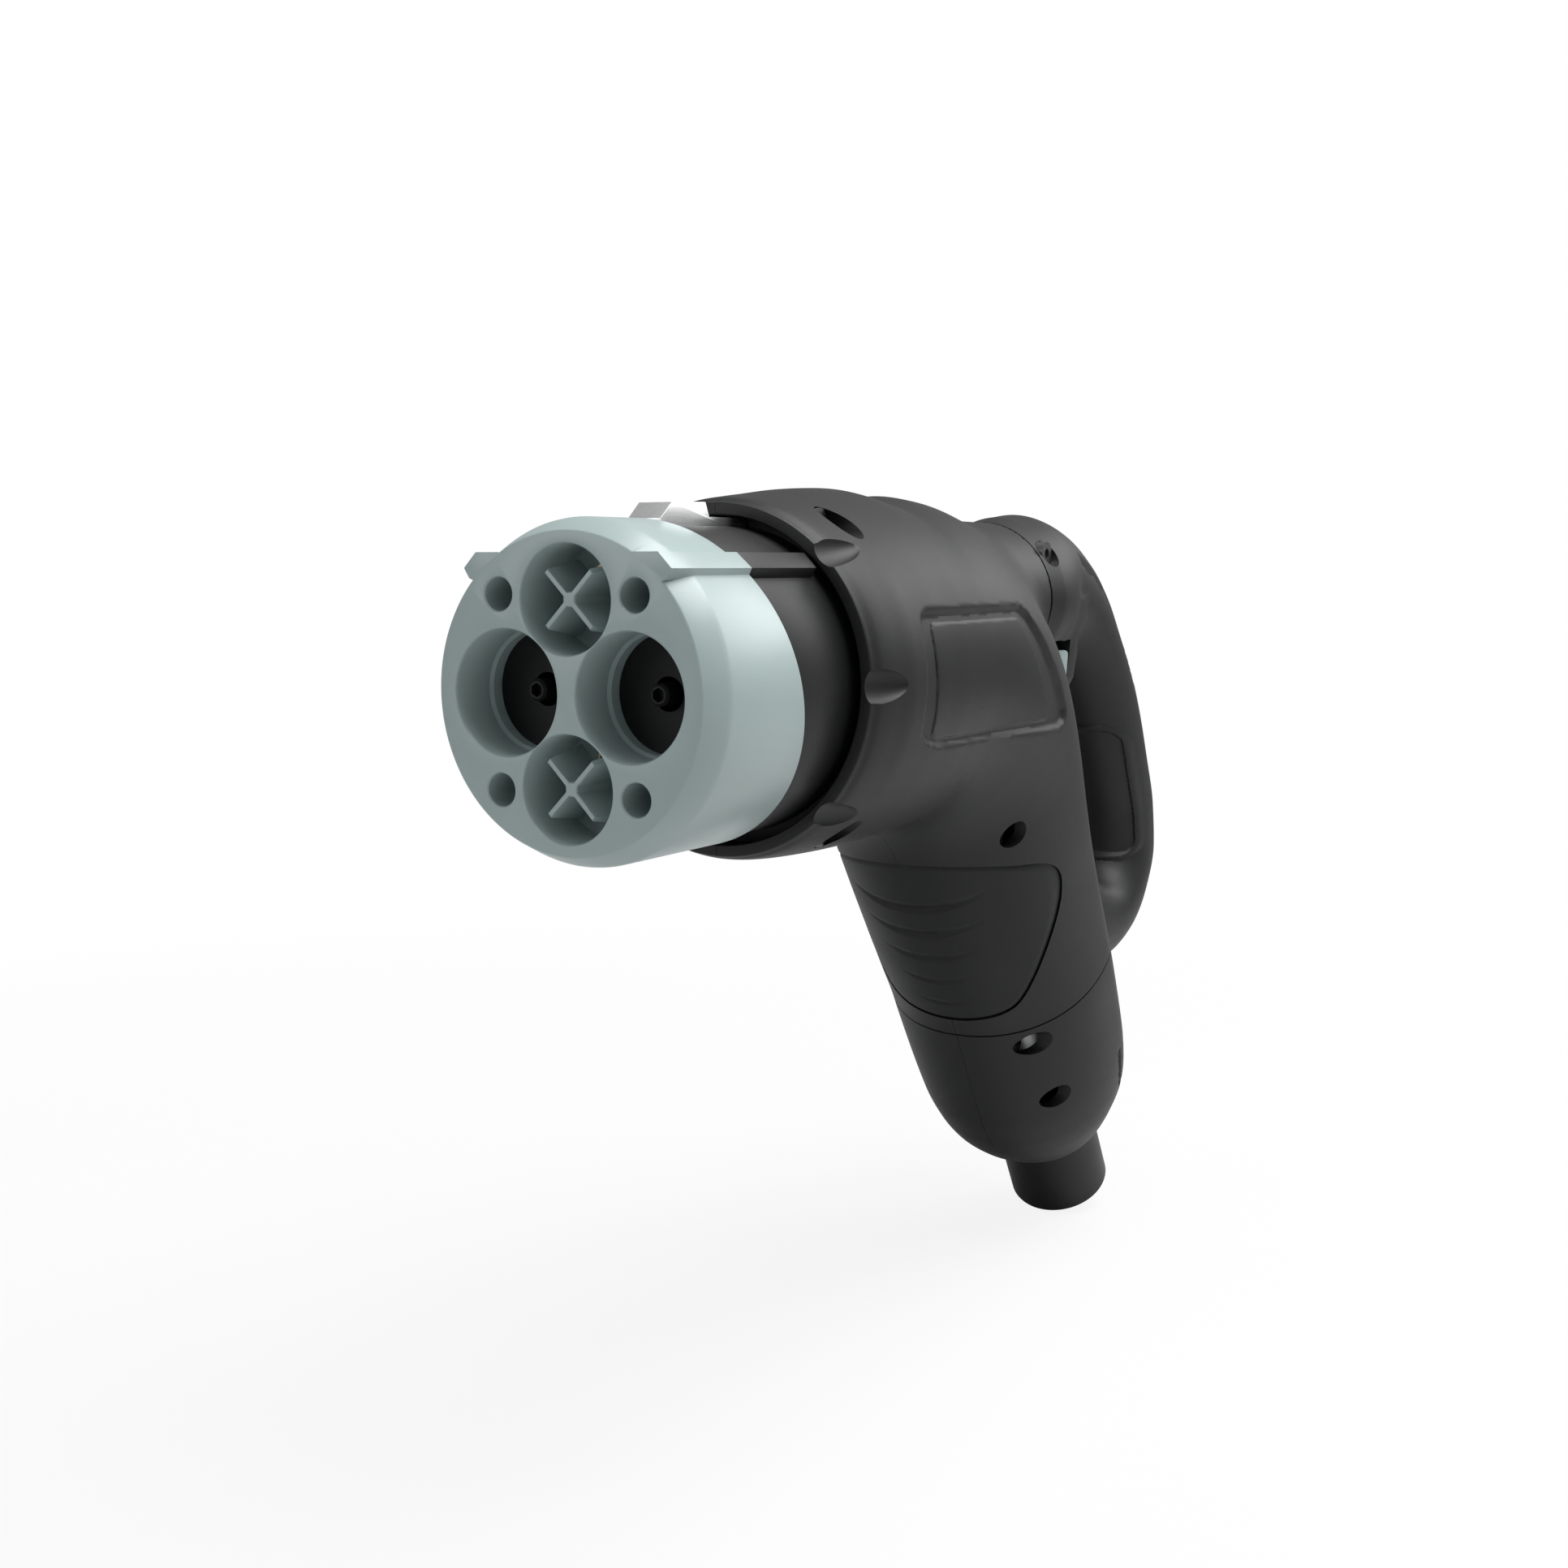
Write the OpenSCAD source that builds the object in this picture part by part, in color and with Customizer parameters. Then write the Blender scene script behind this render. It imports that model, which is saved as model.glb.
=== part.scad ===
/* [Nose] */
// Outer diameter of the round nose that enters the vehicle inlet
nose_d = 70; // [68:0.5:72]
// Length of the chamfer round the nose tip
tip_l = 6.3; // [4:0.1:9]
// Depth of that chamfer, measured on the radius
tip_depth = 2.7; // [1:0.1:3.5]
// Distance of the slanted rear edge of the nose behind its face, on the axis
edge_y = 32.3; // [30:0.1:34]
// Slant of that rear edge in degrees
edge_slant = 14; // [8:0.5:16]
// Width between the crests of the two key ridges
key_w = 53.6; // [52.8:0.1:54.2]
// Height of the flat top of the key ridges above the axis
key_h = 28; // [27.5:0.1:28.4]

/* [Sockets] */
// Diameter of a power socket at the face
power_socket_d = 25.6; // [24.8:0.1:25.8]
// Distance between the centres of the power sockets
power_pitch = 30.4; // [30.2:0.1:31.2]
// Depth of a power socket down to the contact holder
holder_y = 13.6; // [12:0.1:18]
// Bore of the contact holder, which takes the vehicle pin
holder_bore_d = 7.1; // [6.8:0.1:7.4]
// Diameter of the touch safe centre pin
touch_pin_d = 4.6; // [4:0.1:5]
// Distance of the tip of the centre pin behind the face
touch_pin_y = 9.9; // [8:0.1:12]
// Diameter of a signal socket
signal_socket_d = 22; // [20:0.1:22.2]
// Height of a signal socket centre above or below the axis
signal_z = 18.75; // [18.7:0.05:19.2]
// Depth of a signal socket
signal_depth = 14; // [12:0.5:16]
// Radius of the circle of four signal contacts
signal_ring_r = 5.6; // [5:0.1:5.8]
// Diameter of a signal contact
signal_pin_d = 3; // [2.6:0.1:3.2]
// Thickness of the cross wall in a signal socket
cross_t = 1.15; // [0.8:0.05:1.6]
// Diameter of the four screw wells in the face
well_d = 6.9; // [6.6:0.1:7.4]
// Side distance of a screw well from the middle
well_x = 16.7; // [16.4:0.1:17.2]
// Height of a screw well above or below the middle
well_z = 19.7; // [19.4:0.1:20]

/* [Neck and collar] */
// Step from the nose down to the black neck sleeve, on the radius
neck_step = 1; // [0.5:0.1:1.5]
// Radial width of the ring gap between neck and collar
ring_gap = 2.3; // [2:0.1:2.6]
// Thickness of the collar rim
rim_t = 2.7; // [2.2:0.1:3.4]
// Distance of the collar rim behind the face
rim_y = 53.5; // [52.5:0.1:55]
// Depth of the ring gap behind the rim
gap_depth = 6.5; // [5:0.1:7.5]

/* [Body] */
// Wall thickness of the moulded shells
wall = 3; // [2.4:0.1:3.4]
// Swell of the collar beyond its rim, at its widest
belly = 4.4; // [3:0.1:5]
// Distance behind the face where the two axes of the body meet
elbow_y = 154.2; // [150:0.2:158]
// Lean of the lower body from the vertical in degrees
lean = 30; // [28:0.5:32]
// Radius of the bend between barrel and grip
bend_r = 64; // [62:0.5:66]
// Length of the lower axis from the elbow to the cut cable end
lower_l = 194.2; // [190:0.2:200]
// Width of the grip
grip_w = 65.4; // [63:0.1:67]
// Width of the tail below the split line
tail_w = 60; // [58:0.1:61]
// Height of the split line above the cable end, along the lower axis
split_s = 91.5; // [90:0.5:93]
// Width of the split line
split_gap = 0.5; // [0.3:0.05:0.8]
// Depth of the recess that holds the label plate
label_depth = 1.4; // [1:0.1:1.6]
// Depth of the recess that holds the ribbed grip pad
pad_depth = 2; // [1.6:0.1:2.2]
// Number of crescent grooves in the grip pad
pad_grooves = 5; // [4:1:5]

/* [Handle] */
// Distance of the front edge of the handle shells behind the face
band_y = 190; // [188:0.5:192]
// Step of the handle shells over the neck behind them
band_step = 1.5; // [1:0.1:2]
// Width of the handle limb
limb_w = 33; // [31:0.2:35]
// Thickness of the handle limb
limb_t = 30; // [29:0.2:31]
// Width of the unlock lever
lever_w = 24; // [22:0.2:25]
// Angle that the lever travels in degrees
lever_travel = 4.9; // [4:0.1:5.2]
// Travel of the release button
button_travel = 2.5; // [1.5:0.1:2.8]

/* [Latch] */
// Width of the metal latch hook
hook_w = 8.3; // [7:0.1:9]
// Height of the hook crest above the axis
hook_h = 38.7; // [38.2:0.1:39.2]
// Length of the latch tail below its pivot
tail_arm = 20; // [18:0.2:21]
// Diameter of the latch and lever pins
pivot_d = 4; // [3.6:0.1:4.4]

/* [Cable] */
// Outer diameter of the cable
cable_d = 30; // [28:0.2:31]
// Wall of the cable jacket
jacket_t = 2.2; // [1.8:0.1:2.6]
// Diameter of an insulated power core
core_d = 9.4; // [8.8:0.1:10]

/* [Fits] */
// Clearance between seated pieces
fit = 0.05; // [0.03:0.01:0.08]
// Radial clearance of a turning pin
run_fit = 0.05; // [0.03:0.01:0.08]
// Clearance round moving pieces
free = 0.5; // [0.4:0.05:0.6]

/* [Hidden] */
nose_r = nose_d / 2;
neck_r = nose_r - neck_step;
gap_r = neck_r + ring_gap;
rim_r = gap_r + rim_t;
gap_y = rim_y + gap_depth;
spigot_r = nose_r - 5.15;
rear_r = nose_r - 4.6;
carrier_y = gap_y - 6;
web_y = carrier_y + 5;
joint_y = signal_depth + 2;
web_t = 7;
flange_y = gap_y + 3.1;
flange_t = 3.8;
sleeve_end = gap_y + 18;
px = power_pitch / 2;
lead_r = power_socket_d / 2;
seat_r = lead_r - 0.6;
stem_r = seat_r - 3.2;
contact_r = 6.05;
slot_w = hook_w + 2 * free;
slot_floor = 26.5;
screw_r = 1.75;
head_r = 3.3;
pocket_r = 3.6;
pillar_r = 5;
ring_n = 36;
cavity_n = 20;

end_y = elbow_y + lower_l * sin(lean);
end_z = -lower_l * cos(lean);
turn = 90 - lean;
bend_y = elbow_y - bend_r * tan(turn / 2);
grip_s = lower_l - bend_r * tan(turn / 2);
gw = grip_w / 2;
tw = tail_w / 2;

latch_y = gap_y + 24;
latch_z = 29;
rod_z = latch_z - tail_arm;
lever_y = 260;
lever_z = -12;
crank_arm = rod_z - lever_z;
latch_travel = lever_travel * crank_arm / tail_arm;
crank_y = lever_y - 10;
rod_travel = crank_arm * tan(lever_travel);
rod_eye = 3.6;
rod_x0 = 5;
rod_x1 = 8;
link_r = 1.5;
link_slack = 0.3;

// Rows of the barrel: distance behind the face, side, top and bottom radius beyond the rim radius
barrel_rows = [
    [rim_y - 1, -rim_t + 0.3, -rim_t + 0.3, -rim_t + 0.3],
    [rim_y, -0.25, -0.25, -0.25],
    [rim_y + 0.6, 0.1, 0.1, 0.1],
    [rim_y + 3, 0.25 * belly, 0.25 * belly, 0.22 * belly],
    [rim_y + 9, 0.5 * belly, 0.42 * belly, 0.4 * belly],
    [rim_y + 16, 0.68 * belly, 0.58 * belly, 0.5 * belly],
    [rim_y + 28, 0.68 * belly, 0.86 * belly, 0.6 * belly],
    [rim_y + 37, 0.6 * belly, 0.98 * belly, 0.62 * belly],
    [rim_y + 43, 0.55 * belly, 1.02 * belly, 0.6 * belly],
    [rim_y + 50, 0.46 * belly, 0.9 * belly, 0.52 * belly],
    [rim_y + 58, 0.36 * belly, 0.6 * belly, 0.42 * belly]
];
// Rows of the bend: share of the turn, side, top and bottom radius beyond the rim radius
bend_rows = [
    [0, 1.3, 1.8, 1.5],
    [0.125, 1, 1.5, 1.4],
    [0.25, 0.6, 1.1, 1.3],
    [0.375, 0, 0.5, 1.25],
    [0.5, -0.8, -0.2, 1.2],
    [0.625, -1.8, -1.1, 1],
    [0.75, -2.9, -2.1, 0.8],
    [0.875, -4, -3, 0.5],
    [1, -4.9, -3.8, 0.2]
];
// Rows of the lower body: height above the cable end, half width, rear and front depth, flat
lower_rows = [
    [grip_s - 6, gw + 1, 34.9, 39, 36],
    [grip_s - 20, gw + 0.4, 34.3, 38.5, 33.6],
    [grip_s - 36, gw - 0.3, 33.6, 37.6, 32.4],
    [grip_s - 52, gw - 0.6, 33.8, 35.8, 31.7],
    [split_s, gw - 0.7, 34.3, 34.2, 31.2],
    [split_s - 18, tw + 1.2, 33.4, 34.4, 30.4],
    [split_s - 34, tw, 31.9, 34.1, 29.4],
    [split_s - 44, tw - 1.6, 30.2, 32.4, 28],
    [split_s - 51, tw - 3.6, 28, 30, 26],
    [split_s - 57, tw - 6.4, 25, 26.6, 23.4],
    [split_s - 62, tw - 9.4, 21.6, 22.8, 20.4],
    [split_s - 65.3, tw - 12, 18.4, 19, 19]
];
// Rows of the neck: distance behind the face, half width, top height
neck_a = 20.8;
neck_top = 37.1;
neck_depth = 21;
lap = 1.8;
neck_rows = [
    [bend_y, 24, 38],
    [bend_y + 9, 25.4, 40.3],
    [bend_y + 18, 25.4, 40.4],
    [bend_y + 30, 24.4, 39.3],
    [bend_y + 42, 23, 37.8],
    [bend_y + 56, 21.6, 37.2],
    [band_y - fit, neck_a, neck_top]
];
neck_z = 16;
// Rows of the handle: centre, tilt of its outward side, half width, outer and inner depth
hw = limb_w / 2;
ht = limb_t / 2;
handle_rows = [
    [band_y, neck_z, 0, neck_a + band_step, neck_top - neck_z + 0.7 * band_step, neck_depth + 0.7 * band_step],
    [band_y + 8, 16.5, 4, 22, 22.2, 22.5],
    [band_y + 17, 17, 8, hw + 4, 22, 22],
    [band_y + 27, 17.5, 20, hw + 2, ht + 5.5, ht + 4],
    [band_y + 39, 15, 38, hw + 1, ht + 3.5, ht + 2],
    [band_y + 50, 9.5, 50, hw + 0.3, ht + 2, ht + 1],
    [254, -3, 56, hw, ht, ht],
    [266.5, -20.3, 60, hw, ht, ht],
    [275.5, -38.5, 66, hw, ht, ht],
    [281.5, -53, 76, hw, ht, ht],
    [283, -65, 92, hw, ht, ht],
    [277.5, -76.5, 118, hw, ht - 1, ht - 1],
    [268.5, -83.5, 145, hw, ht - 1, ht - 1],
    [257, -86.5, 168, hw, ht - 1, ht + 1.5],
    [244, -87, 180, hw, ht - 1, ht + 10],
    [226, -86, 180, hw, ht - 2, ht + 24]
];

function sgnpow(v, p) = (v < 0 ? -1 : 1) * pow(abs(v), p);
function oval(a, bt, bb, n, k) = [for (i = [0:k - 1]) let (t = 360 * i / k)
    [a * sgnpow(cos(t), 2 / n), (sin(t) < 0 ? bb : bt) * sgnpow(sin(t), 2 / n)]];
function flat(p, h) = let (d = abs(p[0]) * cos(32) + p[1] * sin(32)) d > h ? p * (h / d) : p;
function place(q, y, z, tilt) = [for (p = q) [p[0], y + p[1] * sin(tilt), z + p[1] * cos(tilt)]];

function count(g) = g < -2.3 ? cavity_n : ring_n;
function barrel_ring(r, g) = place(oval(rim_r + r[1] + g, rim_r + r[2] + g, rim_r + r[3] + g, 2, count(g)),
    r[0], 0, 0);
function bend_ring(r, g) = place(oval(rim_r + r[1] + g, rim_r + r[2] + g, rim_r + r[3] + g,
    2 + 0.2 * r[0], count(g)), bend_y + bend_r * sin(turn * r[0]), bend_r * (cos(turn * r[0]) - 1), turn * r[0]);
function lower_ring(r, g) = place([for (p = oval(r[1] + g, r[2] + g, r[3] + g, 2.2, count(g))) flat(p, r[4] + g)],
    end_y - r[0] * sin(lean), end_z + r[0] * cos(lean), turn);
function body_rings(g) = concat([for (r = barrel_rows) barrel_ring(r, g)],
    [for (r = bend_rows) bend_ring(r, g)], [for (r = lower_rows) lower_ring(r, g)]);
function neck_ring(y, a, top, g) = place(oval(a + g, top - neck_z + g, neck_depth + g, 1.8, count(g)), y, neck_z, 0);
function neck_rings(g) = [for (r = neck_rows) neck_ring(r[0], r[1], r[2], g)];
function handle_rings(g, first, last) = [for (i = [first:last]) let (r = handle_rows[i])
    place(oval(r[3] + g, r[4] + g, r[5] + g, i < 3 ? 1.8 : 2.1, count(g)), r[0], r[1], r[2])];

// One slice of a lofted form between two outlines of equal count
module slice(a, b) {
    k = len(a);
    hull() polyhedron(points = concat(a, b), faces = concat([[for (i = [0:k - 1]) i]],
        [[for (i = [0:k - 1]) 2 * k - 1 - i]],
        [for (i = [0:k - 1]) [i, k + i, k + (i + 1) % k, (i + 1) % k]]));
}
module loft(rings) {
    for (i = [0:len(rings) - 2]) slice(rings[i], rings[i + 1]);
}
// A round tube along a route, with its outlines square to the route
function unit(v) = v / norm(v);
function route_dir(p, i) = unit(p[min(i + 1, len(p) - 1)] - p[max(i - 1, 0)]);
function route_ring(p, i, r, k) = let (d = route_dir(p, i), u = unit(cross(d, [0.02, 0, 1])), v = cross(d, u))
    [for (j = [0:k - 1]) p[i] + r * (cos(360 * j / k) * u + sin(360 * j / k) * v)];
module tube(p, r, k) {
    m = len(p);
    polyhedron(points = [for (i = [0:m - 1]) each route_ring(p, i, r, k)],
        faces = concat([[for (j = [0:k - 1]) j]], [[for (j = [0:k - 1]) m * k - 1 - j]],
            [for (i = [0:m - 2], j = [0:k - 1], h = [0, 1]) h == 0
                ? [i * k + j, (i + 1) * k + j, (i + 1) * k + (j + 1) % k]
                : [i * k + j, (i + 1) * k + (j + 1) % k, i * k + (j + 1) % k]]));
}
// A coil spring that stands on its end, with closed flat end turns
module coil(h, r, wire, turns) {
    n = 11;
    close = 2.1 * wire;
    open = (h - 2 * wire - 2 * close) / (turns - 2);
    pts = [for (i = [0:turns * n]) let (t = i / n) [r * cos(360 * t), r * sin(360 * t),
        wire + close * (min(t, 1) + max(t - turns + 1, 0)) + open * min(max(t - 1, 0), turns - 2)]];
    tube(pts, wire, 5);
}
module ycyl(r, y0, y1, x = 0, z = 0) {
    translate([x, y0, z]) rotate([-90, 0, 0]) cylinder(r = r, h = y1 - y0, $fn = 72);
}
module xcyl(r, x0, x1, y, z) {
    translate([x0, y, z]) rotate([0, 90, 0]) cylinder(r = r, h = x1 - x0, $fn = 32);
}
module box(x0, x1, y0, y1, z0, z1) {
    translate([x0, y0, z0]) cube([x1 - x0, y1 - y0, z1 - z0]);
}
// Frame of the lower body: Z runs up its axis from the cable end and Y points to the rear
module lower_frame() {
    translate([0, end_y, end_z]) rotate([lean, 0, 0]) children();
}
// Everything behind the slanted rear edge of the nose, moved back by m
module behind_edge(m) {
    translate([0, edge_y + m, 0]) rotate([edge_slant, 0, 0]) box(-60, 60, 0, 140, -70, 70);
}
module half(side) {
    intersection() {
        children();
        box(side > 0 ? fit : -80, side > 0 ? 80 : -fit, -10, 340, -220, 80);
    }
}
module latch_slot(y0, y1, floor_z, top_z) {
    box(-slot_w / 2, slot_w / 2, y0, y1, floor_z, top_z);
}
module at_wells() {
    for (sx = [-1, 1], sz = [-1, 1]) translate([sx * well_x, 0, sz * well_z]) children();
}
module at_signals(sz) {
    for (a = [0:90:270]) translate([signal_ring_r * cos(a), 0, sz * signal_z + signal_ring_r * sin(a)]) children();
}

// Key ridge profile, from the crest down to the root in the round body
module key_profile(in) {
    crest = key_w / 2 - in;
    polygon([[crest - 9, key_h - 6], [crest - 9, key_h], [crest - 3.1, key_h], [crest, key_h - 3.15],
        [crest - 1.3, key_h - 5.2], [crest - 4.5, key_h - 6.5]]);
}
module key_ridge(side, y0, y1, in) {
    scale([side, 1, 1]) translate([0, y1, 0]) rotate([90, 0, 0]) linear_extrude(y1 - y0) key_profile(in);
}
module key_tip(side) {
    scale([side, 1, 1]) hull() {
        translate([0, 0.02, 0]) rotate([90, 0, 0]) linear_extrude(0.02) key_profile(1.4);
        translate([0, tip_l, 0]) rotate([90, 0, 0]) linear_extrude(0.02) key_profile(0);
    }
}
// Cross wall of a signal socket: two blades at right angles that widen towards the floor
module cross_wall(sz) {
    translate([0, 0, sz * signal_z]) intersection() {
        union() {
            for (a = [45, 135]) rotate([0, a, 0]) box(-12, 12, 1.3, signal_depth + 1, -cross_t / 2, cross_t / 2);
            box(-1.35, 1.35, 1.3, signal_depth + 1, -1.35, 1.35);
        }
        hull() {
            box(-5, 5, 1.3, 1.4, -5.55, 5.55);
            box(-7.2, 7.2, signal_depth, signal_depth + 1, -7.6, 7.6);
        }
    }
}
// Outer form of the nose in front of its slanted rear edge
module nose_form() {
    difference() {
        union() {
            rotate([-90, 0, 0]) rotate_extrude($fn = 96)
                polygon([[0, 0], [nose_r - tip_depth, 0], [nose_r, tip_l], [nose_r, 46], [0, 46]]);
            for (side = [-1, 1]) {
                key_tip(side);
                key_ridge(side, tip_l - 0.01, 46, 0);
            }
        }
        behind_edge(0);
    }
}
module nose_insulator() {
    color("#5f8f8c") difference() {
        nose_form();
        box(-60, 60, joint_y, 80, -60, 60);
        for (side = [-1, 1]) {
            ycyl(lead_r, -1, 11, side * px);
            ycyl(seat_r, 10.9, carrier_y + 1, side * px);
        }
        for (sz = [-1, 1]) {
            difference() {
                ycyl(signal_socket_d / 2, -1, signal_depth, 0, sz * signal_z);
                cross_wall(sz);
            }
            at_signals(sz) ycyl(signal_pin_d / 2 + fit, signal_depth - 1, carrier_y + 1);
        }
        at_wells() ycyl(well_d / 2, -1, joint_y + 1);
    }
}
module nose_block() {
    color("#5a8a87") difference() {
        union() {
            difference() {
                nose_form();
                box(-60, 60, -10, joint_y + fit, -60, 60);
            }
            ycyl(spigot_r, 20, carrier_y - fit);
        }
        for (side = [-1, 1]) ycyl(seat_r, 10, carrier_y + 1, side * px);
        for (sz = [-1, 1]) at_signals(sz) ycyl(signal_pin_d / 2 + fit, 10, carrier_y + 1);
        at_wells() {
            ycyl(well_d / 2, 10, 20);
            ycyl(2.1, 19.9, carrier_y + 1);
        }
        latch_slot(26, carrier_y + 1, slot_floor, 40);
    }
}
module neck_sleeve() {
    color("#232426") difference() {
        union() {
            difference() {
                union() {
                    ycyl(neck_r, 20, gap_y - 0.1);
                    for (side = [-1, 1]) key_ridge(side, 20, rim_y - 1.6, 0.2);
                }
                translate([0, -60, 0]) difference() {
                    box(-60, 60, 20, 140, -70, 70);
                    translate([0, 60, 0]) behind_edge(fit);
                }
                ycyl(spigot_r + fit, 10, web_y);
            }
            difference() {
                union() {
                    ycyl(rear_r, web_y, sleeve_end);
                    ycyl(rear_r + 3.1, flange_y + fit, flange_y + flange_t - fit);
                    ycyl(neck_r, web_y, gap_y - 0.1);
                }
                ycyl(rear_r - 2.9, web_y + web_t, sleeve_end + 1);
            }
        }
        for (side = [-1, 1]) ycyl(stem_r + fit, web_y - 1, web_y + web_t + 1, side * px);
        for (sz = [-1, 1]) ycyl(signal_ring_r + 2.6, web_y - 1, web_y + web_t + 1, 0, sz * signal_z);
        at_wells() ycyl(2 + fit, web_y - 1, web_y + web_t + 1);
        latch_slot(26, web_y, slot_floor, 40);
        latch_slot(web_y - 0.1, sleeve_end + 1, slot_floor - 3.5, 40);
    }
}
module contact_holder(side) {
    color("#1b1b1d") translate([side * px, 0, 0]) difference() {
        union() {
            ycyl(seat_r - fit, holder_y, carrier_y - fit);
            ycyl(stem_r, carrier_y - 1, web_y + web_t + 2);
        }
        ycyl(holder_bore_d / 2, holder_y - 1, holder_y + 7);
        ycyl(contact_r + fit, holder_y + 5.5, web_y + web_t + 3);
    }
}
module contact_holder_left() { contact_holder(-1); }
module contact_holder_right() { contact_holder(1); }
module power_contact(side) {
    front = holder_y + 5.6;
    back = web_y + web_t + 2 + fit;
    color("#c9b27c") translate([side * px, 0, 0]) difference() {
        union() {
            ycyl(contact_r, front, back);
            ycyl(contact_r + 1.6, back, back + 2.5);
            ycyl(contact_r + 0.2, back, back + 16);
        }
        ycyl(holder_bore_d / 2 + 0.05, front - 1, 50);
        ycyl(2 + fit, 49, 58);
        ycyl(core_d / 2 + fit, back + 4, back + 17);
        for (a = [0, 90]) rotate([0, a, 0]) box(-0.4, 0.4, front - 1, front + 20, -8, 8);
    }
}
module power_contact_left() { power_contact(-1); }
module power_contact_right() { power_contact(1); }
module touch_pin(side) {
    r = touch_pin_d / 2;
    color("#161618") translate([side * px, 0, 0]) difference() {
        union() {
            translate([0, touch_pin_y, 0]) rotate([-90, 0, 0]) rotate_extrude($fn = 48)
                polygon([[0, 0], [r - 0.5, 0], [r, 0.6], [r, 50 - touch_pin_y - fit], [0, 50 - touch_pin_y - fit]]);
            ycyl(2, 49, 57.5);
        }
        translate([0, touch_pin_y - 1, 0]) rotate([-90, 30, 0]) cylinder(r = 1.5, h = 3, $fn = 6);
    }
}
module touch_pin_left() { touch_pin(-1); }
module touch_pin_right() { touch_pin(1); }
module signal_contacts(sz) {
    color("#c9a24a") at_signals(sz) translate([0, signal_depth - 2, 0]) rotate([-90, 0, 0])
        rotate_extrude($fn = 32) polygon([[0, 8], [0.75, 8], [0.75, 0], [signal_pin_d / 2 - 0.3, 0],
            [signal_pin_d / 2, 0.5], [signal_pin_d / 2, carrier_y - signal_depth + 5],
            [1, carrier_y - signal_depth + 5], [1, web_y - signal_depth + 3], [0, web_y - signal_depth + 3]]);
}
module signal_contacts_top() { signal_contacts(1); }
module signal_contacts_bottom() { signal_contacts(-1); }
module pin_carrier() {
    color("#2d2f31") difference() {
        ycyl(spigot_r - fit, carrier_y + fit, web_y - fit);
        for (side = [-1, 1]) ycyl(stem_r + fit, carrier_y - 1, web_y + 1, side * px);
        for (sz = [-1, 1]) at_signals(sz) ycyl(signal_pin_d / 2 + fit, carrier_y - 1, web_y + 1);
        at_wells() ycyl(2.1, carrier_y - 1, web_y + 1);
        latch_slot(carrier_y - 1, web_y + 1, slot_floor, 40);
    }
}
module nose_screws() {
    color("#9aa0a3") at_wells() difference() {
        union() {
            ycyl(head_r, 16, 20 - fit);
            ycyl(2, 19, web_y + web_t);
        }
        translate([0, 15, 0]) rotate([-90, 0, 0]) cylinder(r = 1.7, h = 3.2, $fn = 6);
    }
}

// Screw seats of the shells: place of the axis, floor of the pocket, and where the shank ends
collar_screws = [[rim_y + 15.5, 34.6, 15, -10], [rim_y + 15.5, -34.3, 15, -10]];
grip_screws = [[bend_y + 34, -44, 21, -14]];
loop_screws = [[238, -64, 11, -10]];
neck_screws = [[band_y + 4.5, 28.5, 14.5, -11]];
tail_seats = [[-27.6, 85.8, 12, -12], [-25.6, 63.7, 12, -12]];

module pockets(rows) {
    for (p = rows) {
        xcyl(pocket_r, p[2], 60, p[0], p[1]);
        xcyl(screw_r + fit, p[3] - 1, p[2] + 1, p[0], p[1]);
    }
}
module pillars(rows, r) {
    for (p = rows) xcyl(r, -60, 60, p[0], p[1]);
}
module screws(rows) {
    for (p = rows) difference() {
        union() {
            xcyl(head_r, p[2] + fit, p[2] + 2.6, p[0], p[1]);
            xcyl(screw_r, p[3], p[2] + 1, p[0], p[1]);
        }
        translate([p[2] + 1.2, p[0], p[1]]) rotate([0, 90, 0]) cylinder(r = 1.5, h = 3, $fn = 6);
    }
}
module body_outer(g) {
    loft(body_rings(g));
}
module neck_outer(g) {
    loft(neck_rings(g));
}
// Almond shaped finger notches that break the collar rim
module rim_notch(a) {
    rotate([0, a, 0]) translate([rim_r + 1.2, 0, 0]) hull() {
        translate([0, rim_y - 4, 0]) scale([1, 1, 1.5]) sphere(r = 2, $fn = 12);
        translate([0, rim_y + 1.5, 0]) scale([1, 1, 1.45]) sphere(r = 2, $fn = 12);
        translate([0.4, rim_y + 7.5, 0]) sphere(r = 0.3, $fn = 8);
    }
}
function inset(p, m) = let (c = [118, 0]) [for (q = p) q + (q - c) / norm(q - c) * -m];
label_outline = [[77, 14], [79, 15.5], [136, 15.5], [142, 14], [150, 10], [160, 3], [167, -4], [169, -8],
    [168, -12], [163, -16], [155, -17], [140, -15], [100, -13.5], [80, -13.5], [77, -12]];
module side_prism(p, x0, x1) {
    translate([x0, 0, 0]) rotate([90, 0, 90]) linear_extrude(x1 - x0) polygon(p);
}
pad_outline = [[0, 156.5], [12, 155.5], [22, 152], [29, 146], [31.5, 141], [32, 134], [30.5, 124], [26, 112],
    [20.5, 102.5], [16, 99.5], [8, 98], [0, 97.5]];
function mirrored(p) = concat(p, [for (i = [len(p) - 2:-1:1]) [-p[i][0], p[i][1]]]);
function about(p, c, m) = [for (q = p) c + (q - c) * (1 - m / norm(q - c))];
module front_prism(p) {
    lower_frame() rotate([90, 0, 0]) translate([0, 0, 6]) linear_extrude(60) polygon(p);
}
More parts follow.
